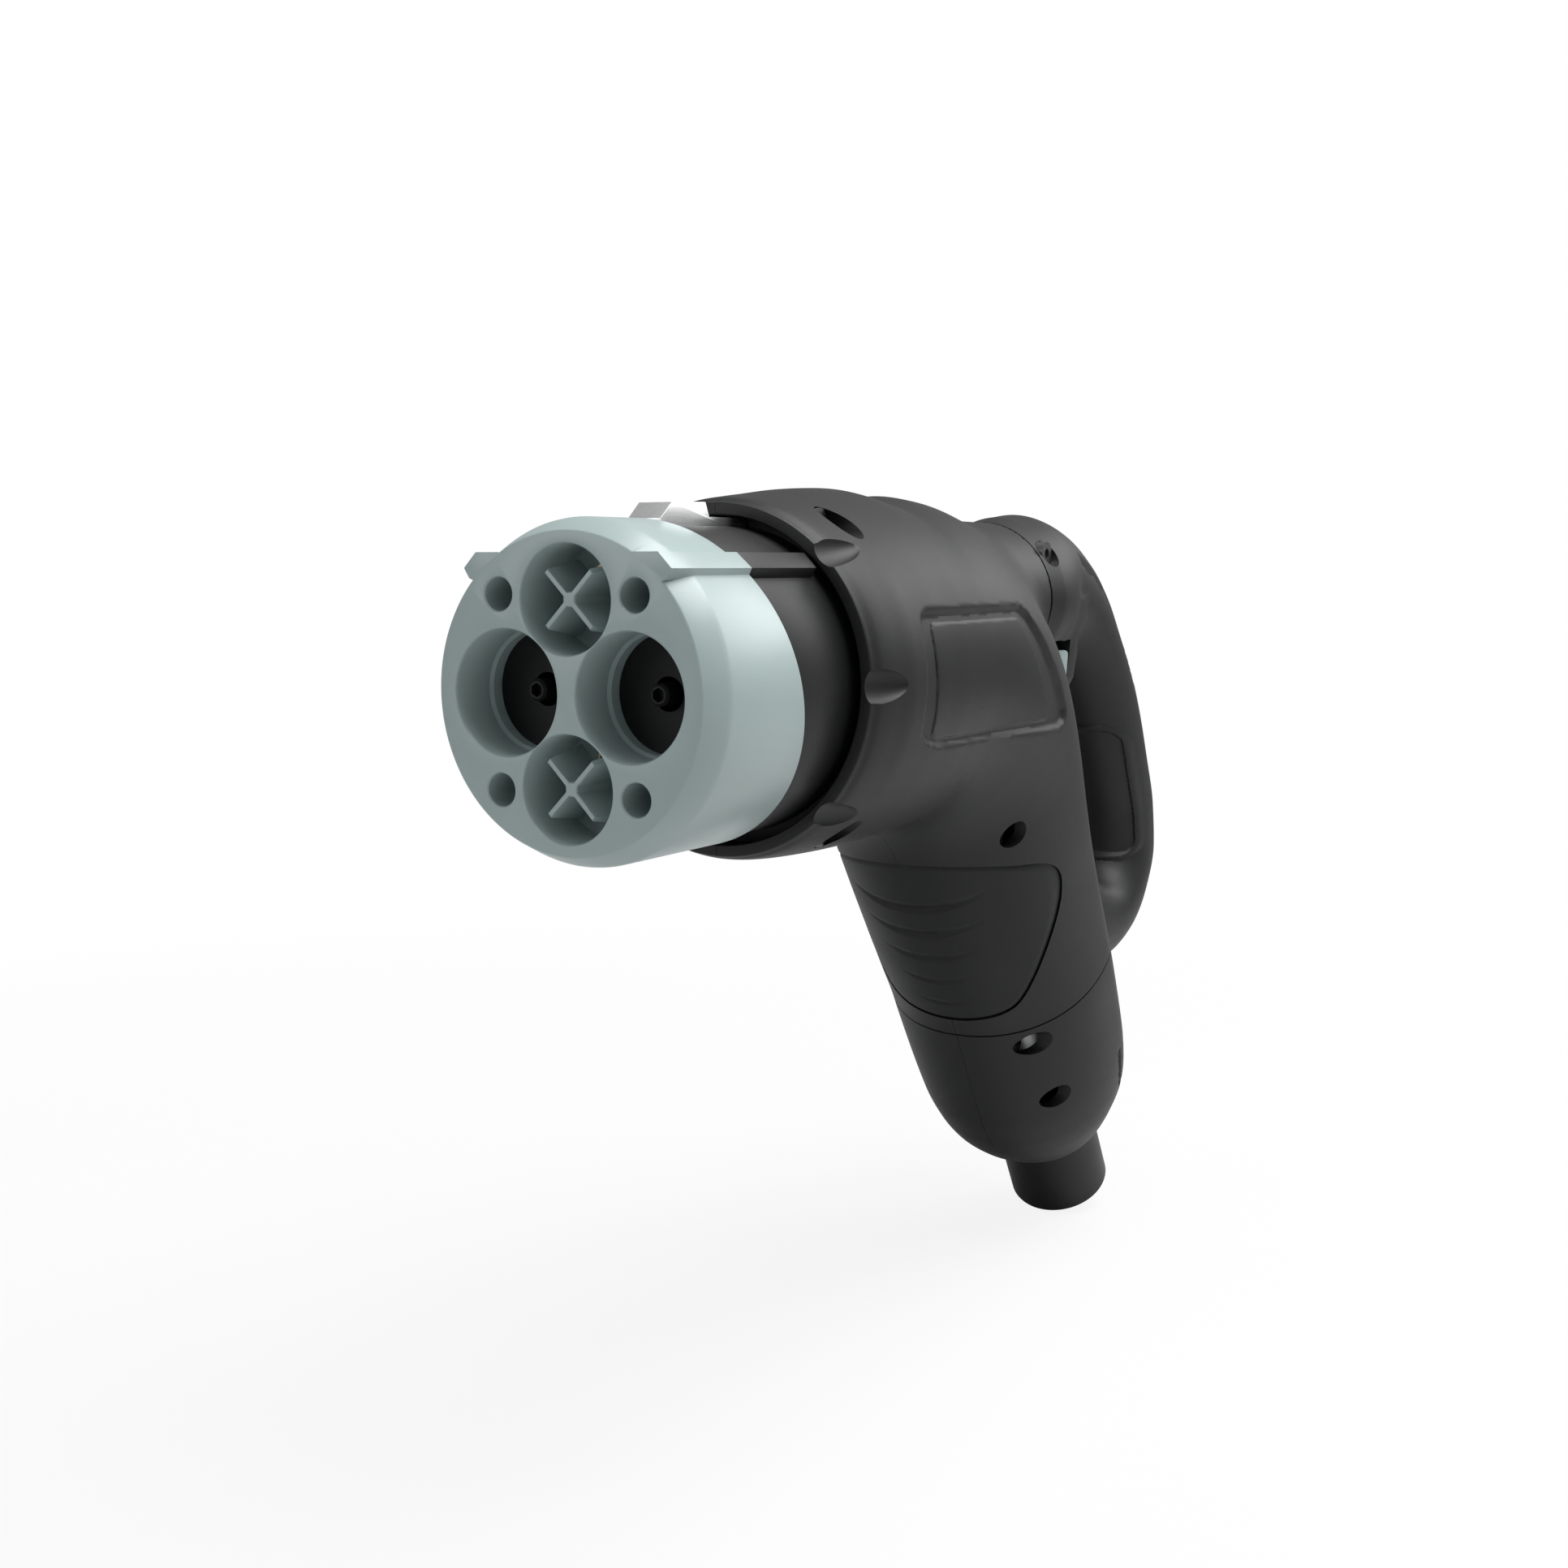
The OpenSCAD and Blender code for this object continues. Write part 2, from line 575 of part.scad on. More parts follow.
module body_cavity() {
    difference() {
        union() {
            loft(concat([for (i = [5, 7, 9, 10]) barrel_ring(barrel_rows[i], -wall)],
                [for (i = [0:2:8]) bend_ring(bend_rows[i], -wall)],
                [for (i = [0:4]) lower_ring(lower_rows[i], -wall)]));
            intersection() {
                neck_outer(-wall - lap);
                box(-40, 40, 0, band_y + 2, -8, 60);
            }
        }
        box(-60, 60, 0, flange_y + flange_t + 5, -60, 60);
        pillars(grip_screws, pillar_r);
        for (side = [-1, 1]) scale([side, 1, 1]) box(30, 60, 104, 128, 10, 13 - fit);
        lower_frame() box(-60, 60, -60, 60, split_s - 20, split_s + split_gap / 2 - 0.01);
    }
}
module housing() {
    difference() {
        union() {
            difference() {
                body_outer(0);
                lower_frame() box(-90, 90, -90, 90, -40, split_s + split_gap / 2);
            }
            neck_outer(0);
            difference() {
                loft([for (y = [band_y - 8, band_y + 10]) neck_ring(y, neck_a, neck_top, -lap)]);
                box(-40, 40, band_y - 0.1, band_y + 20, -30, button_top + button_travel + 5.1);
            }
        }
        ycyl(gap_r, rim_y - 3, gap_y);
        ycyl(rear_r + 0.15, gap_y - 1, flange_y + flange_t + 6);
        ycyl(rear_r + 3.2, flange_y, flange_y + flange_t);
        latch_slot(gap_y - 1, flange_y + flange_t, 20, gap_r - 0.2);
        latch_slot(flange_y, flange_y + flange_t + 6, 20, latch_z + 2.9);
        body_cavity();
        difference() {
            loft([for (y = [band_y - 12, band_y + 12]) neck_ring(y, neck_a, neck_top, -lap - wall)]);
            pillars(neck_screws, pillar_r - 1.5);
        }
        for (a = [-45, 0, 45, 135, 180, 225]) rim_notch(a);
        pockets(concat(collar_screws, grip_screws, neck_screws));
        difference() {
            side_prism(label_outline, 20, 60);
            body_outer(-label_depth);
        }
        difference() {
            front_prism(mirrored(pad_outline));
            body_outer(-pad_depth);
        }
    }
}
module housing_left() {
    color("#2a2b2d") half(-1) housing();
}
module housing_right() {
    color("#2e2f31") half(1) housing();
}
module label_plate() {
    color("#303235") intersection() {
        side_prism(inset(label_outline, 1.6), 20, 60);
        difference() {
            body_outer(-0.35);
            body_outer(-label_depth + fit);
        }
    }
}
// Crescent groove of the grip pad, seen from the front: arc below, shallower arc above
module crescent(w, h, s) {
    r = (w * w + h * h) / (2 * h);
    t = h * 0.45;
    r2 = (w * w + t * t) / (2 * t);
    translate([0, s, 0]) difference() {
        translate([0, r - h, 0]) circle(r = r, $fn = 56);
        translate([0, r2 - t, 0]) circle(r = r2, $fn = 72);
        translate([-w * 2, 0]) square([w * 4, 2 * r]);
    }
}
module grip_pad() {
    color("#26272a") difference() {
        intersection() {
            front_prism(mirrored(about(pad_outline, [0, 128], 0.5)));
            body_outer(0);
        }
        body_outer(-pad_depth + fit);
        intersection() {
            lower_frame() rotate([90, 0, 0]) translate([0, 0, 6]) linear_extrude(60)
                for (i = [0:pad_grooves - 1]) crescent(25 - 3.6 * i, 7 - 0.7 * i, 146 - 9.5 * i);
            difference() {
                body_outer(3);
                body_outer(-1.1);
            }
        }
    }
}

// Space for the lever in the rear of the handle limb
function bow(r, w, g, low, k) = let (q = [for (i = [0:k]) let (x = w * (1 - 2 * i / k))
    [x, (r[4] + g) * pow(1 - pow(abs(x) / (r[3] + g), 2.1), 1 / 2.1)]])
    place(concat(q, [[-w, low], [w, low]]), r[0], r[1], r[2]);
tip_row = [282.2, -75, 100, hw, ht, ht];
inner_w = lever_w / 2 - 2.2;
lever_rows = [handle_rows[7], handle_rows[8], handle_rows[9], handle_rows[10], tip_row];
module lever_channel() {
    w = lever_w / 2 + free;
    loft([for (r = concat([[265.7, -19.2, 60, hw, ht, ht]], lever_rows, [[281.6, -79.2, 104, hw, ht, ht]]))
        bow(r, w, 2, -4, 6)]);
}
module boss(g) {
    loft([for (r = [[12, 16, 17.6], [0, 15.6, 17.2], [-7, 14, 16.2], [-11.5, 11.5, 14], [-14.3, 7, 9.5]])
        [for (i = [0:31]) let (t = 360 * i / 32) [(r[2] + g) * cos(t), 213.5 + (r[1] + g) * sin(t), r[0] - g]]]);
}
button_low = -12.6;
stem_top = 5.5;
button_top = 1.2;
module button_block(g, lift) {
    intersection() {
        box(-17.4 - g, 17.4 + g, 192, 211 + g, button_low - g, button_top + g + lift);
        translate([0, 204 - g, button_low]) rotate([lean, 0, 0]) box(-20, 20, 0, 40, -40, 40);
    }
}
module handle() {
    difference() {
        union() {
            loft(handle_rings(0, 0, len(handle_rows) - 1));
            boss(0);
        }
        body_outer(fit);
        difference() {
            union() {
                loft(handle_rings(-wall, 2, 6));
                loft([for (y = [band_y - 1, band_y + 17.5]) neck_ring(y, neck_a, neck_top, -lap + fit)]);
            }
            box(-40, 40, 0, band_y + 16, -30, button_top + button_travel + free + 1.8);
        }
        loft([for (i = [6, 7]) let (r = handle_rows[i])
            place(oval(lever_w / 2 + free, ht - wall, ht - wall, 2.1, 24), r[0], r[1], r[2])]);
        lever_channel();
        button_block(free, button_travel);
        box(-3.5 - free, 3.5 + free, 200 - free, 207 + free, 0, 14);
        pockets(concat(neck_screws, loop_screws));
        xcyl(pivot_d / 2 + fit, -15, 15, lever_y, lever_z);
        xcyl(rod_eye + 0.4, rod_x0 - 0.5, rod_x1 + 0.5, crank_y + rod_travel, rod_z);
    }
}
module handle_left() {
    color("#2a2b2d") half(-1) handle();
}
module handle_right() {
    color("#303133") half(1) handle();
}
module tail() {
    difference() {
        union() {
            difference() {
                body_outer(0);
                lower_frame() box(-90, 90, -90, 90, split_s - split_gap / 2, 400);
                box(-90, 90, -20, bend_y, -90, 90);
            }
            loft([for (s = [split_s - 6, split_s + 5]) lower_ring([s, gw - 0.7, 34.3, 34.2, 31.2], -wall - fit)]);
        }
        difference() {
            loft(concat([lower_ring([split_s + 6, gw - 0.7, 34.3, 34.2, 31.2], -wall - 1.8)],
                [for (i = [4:10]) lower_ring(lower_rows[i], -wall - (i == 4 ? 1.8 : 0))]));
            lower_frame() for (s = [59.9, 76.1]) difference() {
                box(-40, 40, -40, 40, s, s + 2);
                translate([0, 0, s - 1]) cylinder(r = cable_d / 2 + 1, h = 5, $fn = 48);
            }
            lower_frame() pillars(tail_seats, pillar_r);
        }
        lower_frame() translate([0, 0, 10]) cylinder(r = cable_d / 2 + 2, h = 24, $fn = 64);
        lower_frame() pockets(tail_seats);
        lower_frame() translate([28.5, 4, 55]) rotate([0, -10, 0]) hull() {
            translate([0, 0, 5]) sphere(r = 3, $fn = 14);
            translate([-2, 1, -9]) sphere(r = 3, $fn = 14);
        }
    }
}
module tail_left() {
    color("#2a2b2d") half(-1) tail();
}
module tail_right() {
    color("#2e2f31") half(1) tail();
}

module latch_hook() {
    color("#b9bdc0") difference() {
        union() {
            translate([-hook_w / 2, 0, 0]) rotate([90, 0, 90]) linear_extrude(hook_w) polygon([[27, 32],
                [27, 35], [31, hook_h - 0.3], [43.5, hook_h], [45, gap_r - 0.7], [gap_y - 1, gap_r - 0.7],
                [gap_y + 4, latch_z + 2.4], [latch_y + 12, latch_z + 2.4], [latch_y + 14, latch_z + 1],
                [latch_y + 14, latch_z - 1.5], [latch_y + 4, latch_z - 2], [latch_y - 6, latch_z - 3],
                [gap_y + 4, latch_z - 1.8], [gap_y - 2, 32]]);
            xcyl(4.4, -hook_w / 2, hook_w / 2, latch_y, latch_z);
            box(-2, 2, latch_y - 3, latch_y + 3, rod_z, latch_z);
            xcyl(3, -2, 2, latch_y, rod_z);
            xcyl(link_r, 0, rod_x1 + 0.6, latch_y, rod_z);
        }
        xcyl(pivot_d / 2 + run_fit, -10, 10, latch_y, latch_z);
    }
}
module latch_pin() {
    color("#8f9497") xcyl(pivot_d / 2, -7.6, 7.6, latch_y, latch_z);
}
spring_z = latch_z + 2.4 + 0.1;
bar_z = 36.6;
module latch_spring() {
    color("#c4c7c9") translate([0, latch_y + 9, spring_z]) coil(bar_z - spring_z, 2.6, 0.4, 4);
}
module mechanism_bracket() {
    color("#6f7376") difference() {
        union() {
            for (side = [-1, 1]) scale([side, 1, 1]) box(hook_w / 2 + 1, hook_w / 2 + 3, latch_y - 5, latch_y + 26,
                13, bar_z + 1);
            box(-hook_w / 2 - 3, hook_w / 2 + 3, latch_y + 6, latch_y + 12, bar_z, bar_z + 2);
            box(-33.4, 33.4, latch_y + 20.5, latch_y + 43.5, 13, 15.5);
        }
        xcyl(pivot_d / 2 + fit, -20, 20, latch_y, latch_z);
    }
}
module lock_solenoid() {
    color("#7b6a3a") union() {
        box(-5, 5, latch_y + 21, latch_y + 43, 15.5 + fit, 33);
        ycyl(2.2, latch_y + 15.2, latch_y + 22, 0, latch_z);
    }
}
module link_rod() {
    color("#a9adb0") difference() {
        union() {
            box(rod_x0, rod_x1, latch_y, crank_y, rod_z - 1.6, rod_z + 1.6);
            xcyl(rod_eye, rod_x0, rod_x1, latch_y, rod_z);
            xcyl(rod_eye, rod_x0, rod_x1, crank_y, rod_z);
        }
        for (y = [latch_y, crank_y]) box(0, 10, y - link_r - link_slack, y + link_r + link_slack,
            rod_z - link_r - 1.1, rod_z + link_r + 1.1);
    }
}
module unlock_lever() {
    color("#27282a") difference() {
        loft([for (r = lever_rows) bow(r, lever_w / 2, 0, 3.5, 10)]);
        loft([for (r = concat([[262.5, -13.5, 59, hw, ht, ht]], [for (i = [1:3]) lever_rows[i]],
            [[281, -79, 106, hw, ht, ht]])) bow(r, inner_w, -3, -3, 8)]);
    }
}
module lever_crank() {
    dy = crank_y - lever_y;
    dz = rod_z - lever_z;
    a = atan2(dz, dy);
    color("#a4a8ab") difference() {
        union() {
            xcyl(6, -2.2, 2.2, lever_y, lever_z);
            xcyl(3.6, -2.2, 2.2, crank_y, rod_z);
            xcyl(link_r, 1, rod_x1 + 0.6, crank_y, rod_z);
            translate([0, lever_y, lever_z]) rotate([a, 0, 0]) box(-1.9, 1.9, 4, norm([dy, dz]), -3.2, 3.2);
            translate([0, lever_y, lever_z]) rotate([-58, 0, 0]) {
                box(-1.6, 1.6, 3.5, 40, 0.3, 8.5);
                box(-inner_w + fit, inner_w - fit, 27, 38, 3, 6.8);
            }
        }
        xcyl(pivot_d / 2 + run_fit, -10, 10, lever_y, lever_z);
    }
}
module lever_pin() {
    color("#8f9497") xcyl(pivot_d / 2, -14.6, 14.6, lever_y, lever_z);
}
module lever_spring() {
    color("#c4c7c9") translate([0, 278.9, -57]) rotate([-90, 0, 0]) coil(14.1, 4, 0.55, 5);
}
module release_button() {
    color("#5f8f8c") union() {
        button_block(0, 0);
        box(-3.5, 3.5, 200, 207, button_top - 0.1, stem_top);
    }
}
module button_spring() {
    color("#c4c7c9") translate([0, 203.5, stem_top + fit]) coil(11.7 - stem_top - 2 * fit, 2.4, 0.4, 4);
}
module micro_switch() {
    color("#3a3c3f") box(-10, 10, 197.5, 209.5, 11.7, 22);
}
module housing_screws() {
    color("#8f9497") {
        screws(concat(collar_screws, grip_screws));
    }
}
module handle_screws() {
    color("#8f9497") {
        screws(concat(neck_screws, loop_screws));
    }
}
module tail_screws() {
    color("#8f9497") lower_frame() screws(tail_seats);
}
module cable_clamp() {
    color("#5c6063") lower_frame() for (side = [-1, 1]) difference() {
        union() {
            translate([0, 0, 62]) cylinder(r = cable_d / 2 + 2.5, h = 14, $fn = 72);
            box(-cable_d / 2 - 8.6, cable_d / 2 + 8.6, -4, 4, 62, 76);
        }
        translate([0, 0, 60]) cylinder(r = cable_d / 2 + fit, h = 20, $fn = 72);
        box(-60, 60, side > 0 ? -60 : -0.3, side > 0 ? 0.3 : 60, 50, 90);
        for (sx = [-1, 1]) translate([sx * (cable_d / 2 + 5.6), 0, 69]) rotate([90, 0, 0])
            cylinder(r = 1.6, h = 40, center = true, $fn = 32);
    }
}
module clamp_screws() {
    color("#9aa0a3") lower_frame() for (sx = [-1, 1]) translate([sx * (cable_d / 2 + 5.6), 0, 69]) rotate([90, 0, 0]) {
        translate([0, 0, -4]) cylinder(r = 1.5, h = 9, $fn = 32);
        translate([0, 0, 4 + fit]) cylinder(r = 2.8, h = 2.2, $fn = 32);
    }
}
module cable_gland() {
    color("#17181a") lower_frame() difference() {
        union() {
            translate([0, 0, 25.4]) cylinder(r = cable_d / 2 + 1.9, h = 10, $fn = 72);
            translate([0, 0, 34.1]) cylinder(r = cable_d / 2 + 4.5, h = 4, $fn = 72);
        }
        translate([0, 0, 20]) cylinder(r = cable_d / 2 + fit, h = 30, $fn = 72);
    }
}
module cable_jacket() {
    color("#1d1e20") lower_frame() difference() {
        cylinder(r = cable_d / 2, h = 80, $fn = 72);
        translate([0, 0, -1]) cylinder(r = cable_d / 2 - jacket_t, h = 90, $fn = 72);
    }
}
// Route down the lower axis and round the bend to the rear of the contacts
function on_lower(x, e, s) = [x, end_y - s * sin(lean) + e * cos(lean), end_z + s * cos(lean) + e * sin(lean)];
function on_bend(x, e, t) = [x, bend_y + (bend_r + e) * sin(t), (bend_r + e) * cos(t) - bend_r];
function core_route(side, x0, e0, x1, e1, y1) = concat(
    [on_lower(side * x0, e0, 0), on_lower(side * x0, e0, 40), on_lower(side * x0, e0, 80),
        on_lower(side * (x0 * 0.75 + x1 * 0.25), e0 * 0.75 + e1 * 0.25, 96),
        on_lower(side * (x0 * 0.4 + x1 * 0.6), e0 * 0.4 + e1 * 0.6, 114),
        on_lower(side * (x0 * 0.1 + x1 * 0.9), e0 * 0.1 + e1 * 0.9, 134)],
    [for (t = [turn:-turn / 8:0]) on_bend(side * x1, e1, t)],
    [[side * x1, y1, e1]]);
core_x = core_d / 2 + 0.6;
module power_cores() {
    color("#c05a2a") for (side = [-1, 1])
        tube(core_route(side, core_x, 0, px, 0, web_y + web_t + 7), core_d / 2, 12);
}
module signal_harness() {
    color("#4a4c50") for (e = [-1]) tube(core_route(1, 0, e * (cable_d / 2 - jacket_t - 3.1), 0, e * 12, web_y + web_t + 3), 3, 10);
}

nose_insulator();
nose_block();
neck_sleeve();
contact_holder_left();
contact_holder_right();
power_contact_left();
power_contact_right();
touch_pin_left();
touch_pin_right();
signal_contacts_top();
signal_contacts_bottom();
pin_carrier();
nose_screws();
housing_left();
housing_right();
handle_left();
handle_right();
tail_left();
tail_right();
label_plate();
grip_pad();
latch_hook();
latch_pin();
latch_spring();
mechanism_bracket();
lock_solenoid();
link_rod();
unlock_lever();
lever_crank();
lever_pin();
lever_spring();
release_button();
button_spring();
micro_switch();
housing_screws();
handle_screws();
tail_screws();
cable_clamp();
clamp_screws();
cable_gland();
cable_jacket();
power_cores();
signal_harness();
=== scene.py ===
"""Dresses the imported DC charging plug: smooth moulded shells, nose, hook, handle, cable, finishes, stage and camera.

Sizes are in millimetres in the plug's own frame; the lamps' places and sizes are in metres.
The nose looks along -Y, +Z is up and X runs across the plug.
"""
import logging
import math
from dataclasses import dataclass, field
from enum import Enum
from typing import Any, Callable, Iterable, Sequence

import bmesh
import bpy
import numpy as np
from mathutils import Matrix, Vector


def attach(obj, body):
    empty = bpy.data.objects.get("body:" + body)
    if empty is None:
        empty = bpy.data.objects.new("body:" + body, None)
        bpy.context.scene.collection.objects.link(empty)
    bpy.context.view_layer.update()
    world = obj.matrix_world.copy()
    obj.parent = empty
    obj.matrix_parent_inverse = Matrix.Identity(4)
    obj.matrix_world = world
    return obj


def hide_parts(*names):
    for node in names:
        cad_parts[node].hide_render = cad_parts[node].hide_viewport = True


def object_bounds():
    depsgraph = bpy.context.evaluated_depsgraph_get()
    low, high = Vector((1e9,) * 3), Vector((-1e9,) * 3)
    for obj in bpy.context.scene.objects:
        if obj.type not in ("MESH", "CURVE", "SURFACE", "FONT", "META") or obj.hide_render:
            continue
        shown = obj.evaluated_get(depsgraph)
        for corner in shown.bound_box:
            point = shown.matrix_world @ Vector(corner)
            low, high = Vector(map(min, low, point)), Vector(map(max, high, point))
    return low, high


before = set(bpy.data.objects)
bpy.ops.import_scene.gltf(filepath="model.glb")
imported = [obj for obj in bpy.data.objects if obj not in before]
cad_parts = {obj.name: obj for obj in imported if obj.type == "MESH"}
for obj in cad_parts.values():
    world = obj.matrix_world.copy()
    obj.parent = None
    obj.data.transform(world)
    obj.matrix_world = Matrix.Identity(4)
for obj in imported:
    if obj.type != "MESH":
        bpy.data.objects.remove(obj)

CAD_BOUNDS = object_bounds()
LOG = logging.getLogger("charging_plug")
MM = 0.001
Array = np.ndarray
Field = Callable[[Array, Array, Array], Array]


# Shape maths

def smooth_rows(rows: Sequence[Sequence[float]], step: float = 0.5) -> Array:
    """Interpolates rows of sizes without overshoot.

    Args:
        rows: Rows whose first number rises along the spine.
        step: Spacing of the dense rows.

    Returns:
        Dense rows, one column for each number of a row.
    """
    table = np.array(rows, float)
    t, v = table[:, 0], table[:, 1:]
    h = np.diff(t)[:, None]
    slope = np.diff(v, axis=0) / h
    tangent = np.zeros_like(v)
    same = slope[:-1] * slope[1:] > 0
    with np.errstate(divide="ignore", invalid="ignore"):
        mean = (h[:-1] + h[1:]) * 3 / ((2 * h[1:] + h[:-1]) / slope[:-1] + (h[1:] + 2 * h[:-1]) / slope[1:])
    tangent[1:-1] = np.where(same, mean, 0.0)
    tangent[0], tangent[-1] = slope[0], slope[-1]
    dense = np.arange(t[0], t[-1] + step / 2, step)
    i = np.clip(np.searchsorted(t, dense, side="right") - 1, 0, len(t) - 2)
    u = ((dense - t[i]) / (t[i + 1] - t[i]))[:, None]
    hi = h[i]
    out = ((2 * u**3 - 3 * u**2 + 1) * v[i] + (u**3 - 2 * u**2 + u) * hi * tangent[i]
           + (3 * u**2 - 2 * u**3) * v[i + 1] + (u**3 - u**2) * hi * tangent[i + 1])
    return np.column_stack([dense, out])


def joined(a: Array, b: Array, k: float) -> Array:
    """Returns the union of two fields with a fillet of reach k."""
    h = np.clip(0.5 + 0.5 * (b - a) / k, 0, 1)
    return b + (a - b) * h - k * h * (1 - h)


def kept_in(a: Array, b: Array, k: float) -> Array:
    """Returns what two fields share, with its edge rounded by k."""
    return -joined(-a, -b, k)


def ramp(v: Array, low: float, high: float) -> Array:
    """Returns a soft step from 0 at low to 1 at high."""
    u = np.clip((v - low) / (high - low), 0, 1)
    return u * u * (3 - 2 * u)


def ring_distance(x: Array, e: Array, side: Array, top: Array, bottom: Array, power: Array | float) -> Array:
    """Returns the radial distance outside a rounded oval with its own top and bottom radius."""
    b = np.where(e < 0, bottom, top)
    ratio = (np.abs(x / side) ** power + np.abs(e / b) ** power) ** (1 / power) + 1e-9
    rho = np.sqrt(x * x + e * e) + 1e-9
    return rho * (1 - 1 / ratio)


def oval(side: float, top: float, bottom: float, power: float, count: int = 96) -> tuple[Array, Array]:
    """Returns the sideways and outward places of points round an oval with its own top and bottom radius."""
    turn = np.linspace(0, 2 * math.pi, count, endpoint=False)
    c, s = np.cos(turn), np.sin(turn)
    across = side * np.sign(c) * np.abs(c) ** (2 / power)
    return across, np.where(s < 0, bottom, top) * np.sign(s) * np.abs(s) ** (2 / power)


def outline_distance(u: Array, v: Array, outline: Sequence[Sequence[float]]) -> Array:
    """Returns the signed distance of points to a closed outline, negative inside it."""
    pts = np.array(outline, float)
    best = np.full(u.shape, 1e9)
    inside = np.zeros(u.shape, bool)
    for a, b in zip(pts, np.roll(pts, -1, axis=0)):
        d = b - a
        t = np.clip(((u - a[0]) * d[0] + (v - a[1]) * d[1]) / (d @ d), 0, 1)
        best = np.minimum(best, (u - a[0] - t * d[0]) ** 2 + (v - a[1] - t * d[1]) ** 2)
        crosses = (a[1] > v) != (b[1] > v)
        if d[1] != 0:
            inside ^= crosses & (u < (v - a[1]) * d[0] / d[1] + a[0])
    return np.where(inside, -1, 1) * np.sqrt(best)


def rounded_outline(points: Sequence[Sequence[float]], passes: int) -> list[list[float]]:
    """Returns a closed outline with its corners cut smooth, pass by pass."""
    pts = np.array(points, float)
    for _ in range(passes):
        nxt = np.roll(pts, -1, axis=0)
        pts = np.stack([pts * 0.75 + nxt * 0.25, pts * 0.25 + nxt * 0.75], axis=1).reshape(-1, 2)
    return pts.tolist()


def rounded_box(half: float, low: float, high: float, radius: float) -> list[list[float]]:
    """Returns the outline of a rectangle about the middle plane with round corners."""
    out = []
    for side, top, start in ((1, 1, 0), (-1, 1, 90), (-1, -1, 180), (1, -1, 270)):
        turn = np.radians(start + np.arange(0, 91, 18))
        middle = side * (half - radius), high - radius if top > 0 else low + radius
        out += np.column_stack([middle[0] + radius * np.cos(turn), middle[1] + radius * np.sin(turn)]).tolist()
    return out


def net_surface(shape: Field, low: Sequence[float], high: Sequence[float], step: float) -> tuple[Array, Array]:
    """Meshes the zero surface of a field with one vertex for each crossed cell.

    Args:
        shape: Field that is negative inside the solid.
        low: Lowest corner of the region.
        high: Highest corner of the region.
        step: Size of a cell.

    Returns:
        Vertices and quads.
    """
    axes = [np.arange(lo, hi + step, step) for lo, hi in zip(low, high)]
    n = [len(a) for a in axes]
    value = np.empty(n, np.float32)
    yy, zz = np.meshgrid(axes[1], axes[2], indexing="ij")
    for i, x in enumerate(axes[0]):
        value[i] = shape(np.full(yy.shape, x), yy, zz)
    value[0], value[-1], value[:, 0], value[:, -1], value[:, :, 0], value[:, :, -1] = 9, 9, 9, 9, 9, 9
    inside = value < 0
    total = np.zeros([m - 1 for m in n], np.int8)
    corners = [(a, b, c) for a in (0, 1) for b in (0, 1) for c in (0, 1)]
    for a, b, c in corners:
        total += inside[a:n[0] - 1 + a, b:n[1] - 1 + b, c:n[2] - 1 + c]
    cell = np.argwhere((total > 0) & (total < 8))
    index = np.full(total.shape, -1, np.int32)
    index[tuple(cell.T)] = np.arange(len(cell))
    place = np.zeros((len(cell), 3))
    count = np.zeros((len(cell), 1))
    for p in corners:
        for axis in range(3):
            if p[axis]:
                continue
            q = list(p)
            q[axis] = 1
            va = value[tuple((cell + p).T)]
            vb = value[tuple((cell + q).T)]
            crossed = (va < 0) != (vb < 0)
            t = np.where(crossed, va / np.where(crossed, va - vb, 1), 0)
            spot = np.array(p, float) + t[:, None] * (np.array(q, float) - np.array(p, float))
            place += np.where(crossed[:, None], spot, 0)
            count += crossed[:, None]
    vertices = (cell + place / count) * step + np.array(low, float)
    quads = []
    for axis in range(3):
        a, b = [(1, 2), (2, 0), (0, 1)][axis]
        first = [slice(None)] * 3
        second = [slice(None)] * 3
        first[axis], second[axis] = slice(0, -1), slice(1, None)
        flip = inside[tuple(first)] != inside[tuple(second)]
        spots = np.argwhere(flip)
        spots = spots[(spots[:, a] > 0) & (spots[:, b] > 0) & (spots[:, a] < n[a] - 1) & (spots[:, b] < n[b] - 1)]
        step_a, step_b = np.zeros(3, int), np.zeros(3, int)
        step_a[a], step_b[b] = 1, 1
        ring = np.stack([index[tuple((spots - m).T)] for m in (step_a + step_b, step_b, 0 * step_a, step_a)], axis=1)
        outward = inside[tuple(spots.T)]
        quads.append(np.where(outward[:, None], ring, ring[:, ::-1]))
    vertices = settle(shape, vertices, step)
    return vertices, np.concatenate(quads)


def half_piece(name: str, shape: Field, low: Sequence[float], high: Sequence[float], step: float, side: int,
               gap: float) -> bpy.types.Object:
    """Meshes one side of a form that is split along the middle plane.

    Args:
        name: Name of the piece.
        shape: Field of the whole form, for points of the right side.
        low: Lowest corner of the right side's region.
        high: Highest corner of the region.
        step: Size of a cell.
        side: 1 for the right side or -1 for the left, which is mirrored.
        gap: Distance of the cut from the middle plane.

    Returns:
        The closed half.
    """
    vertices, quads = net_surface(shape, low, high, step)
    if side < 0:
        vertices, quads = vertices * np.array([-1, 1, 1]), quads[:, ::-1]
    return parted(mesh_piece(name, vertices, quads), (side * gap, 0, 0), (-side, 0, 0))


def slope_of(shape: Field, p: Array, reach: float = 0.05) -> Array:
    """Returns the gradient of a field at points."""
    out = np.empty_like(p)
    for axis in range(3):
        d = np.zeros(3)
        d[axis] = reach
        out[:, axis] = (shape(*(p + d).T) - shape(*(p - d).T)) / (2 * reach)
    return out


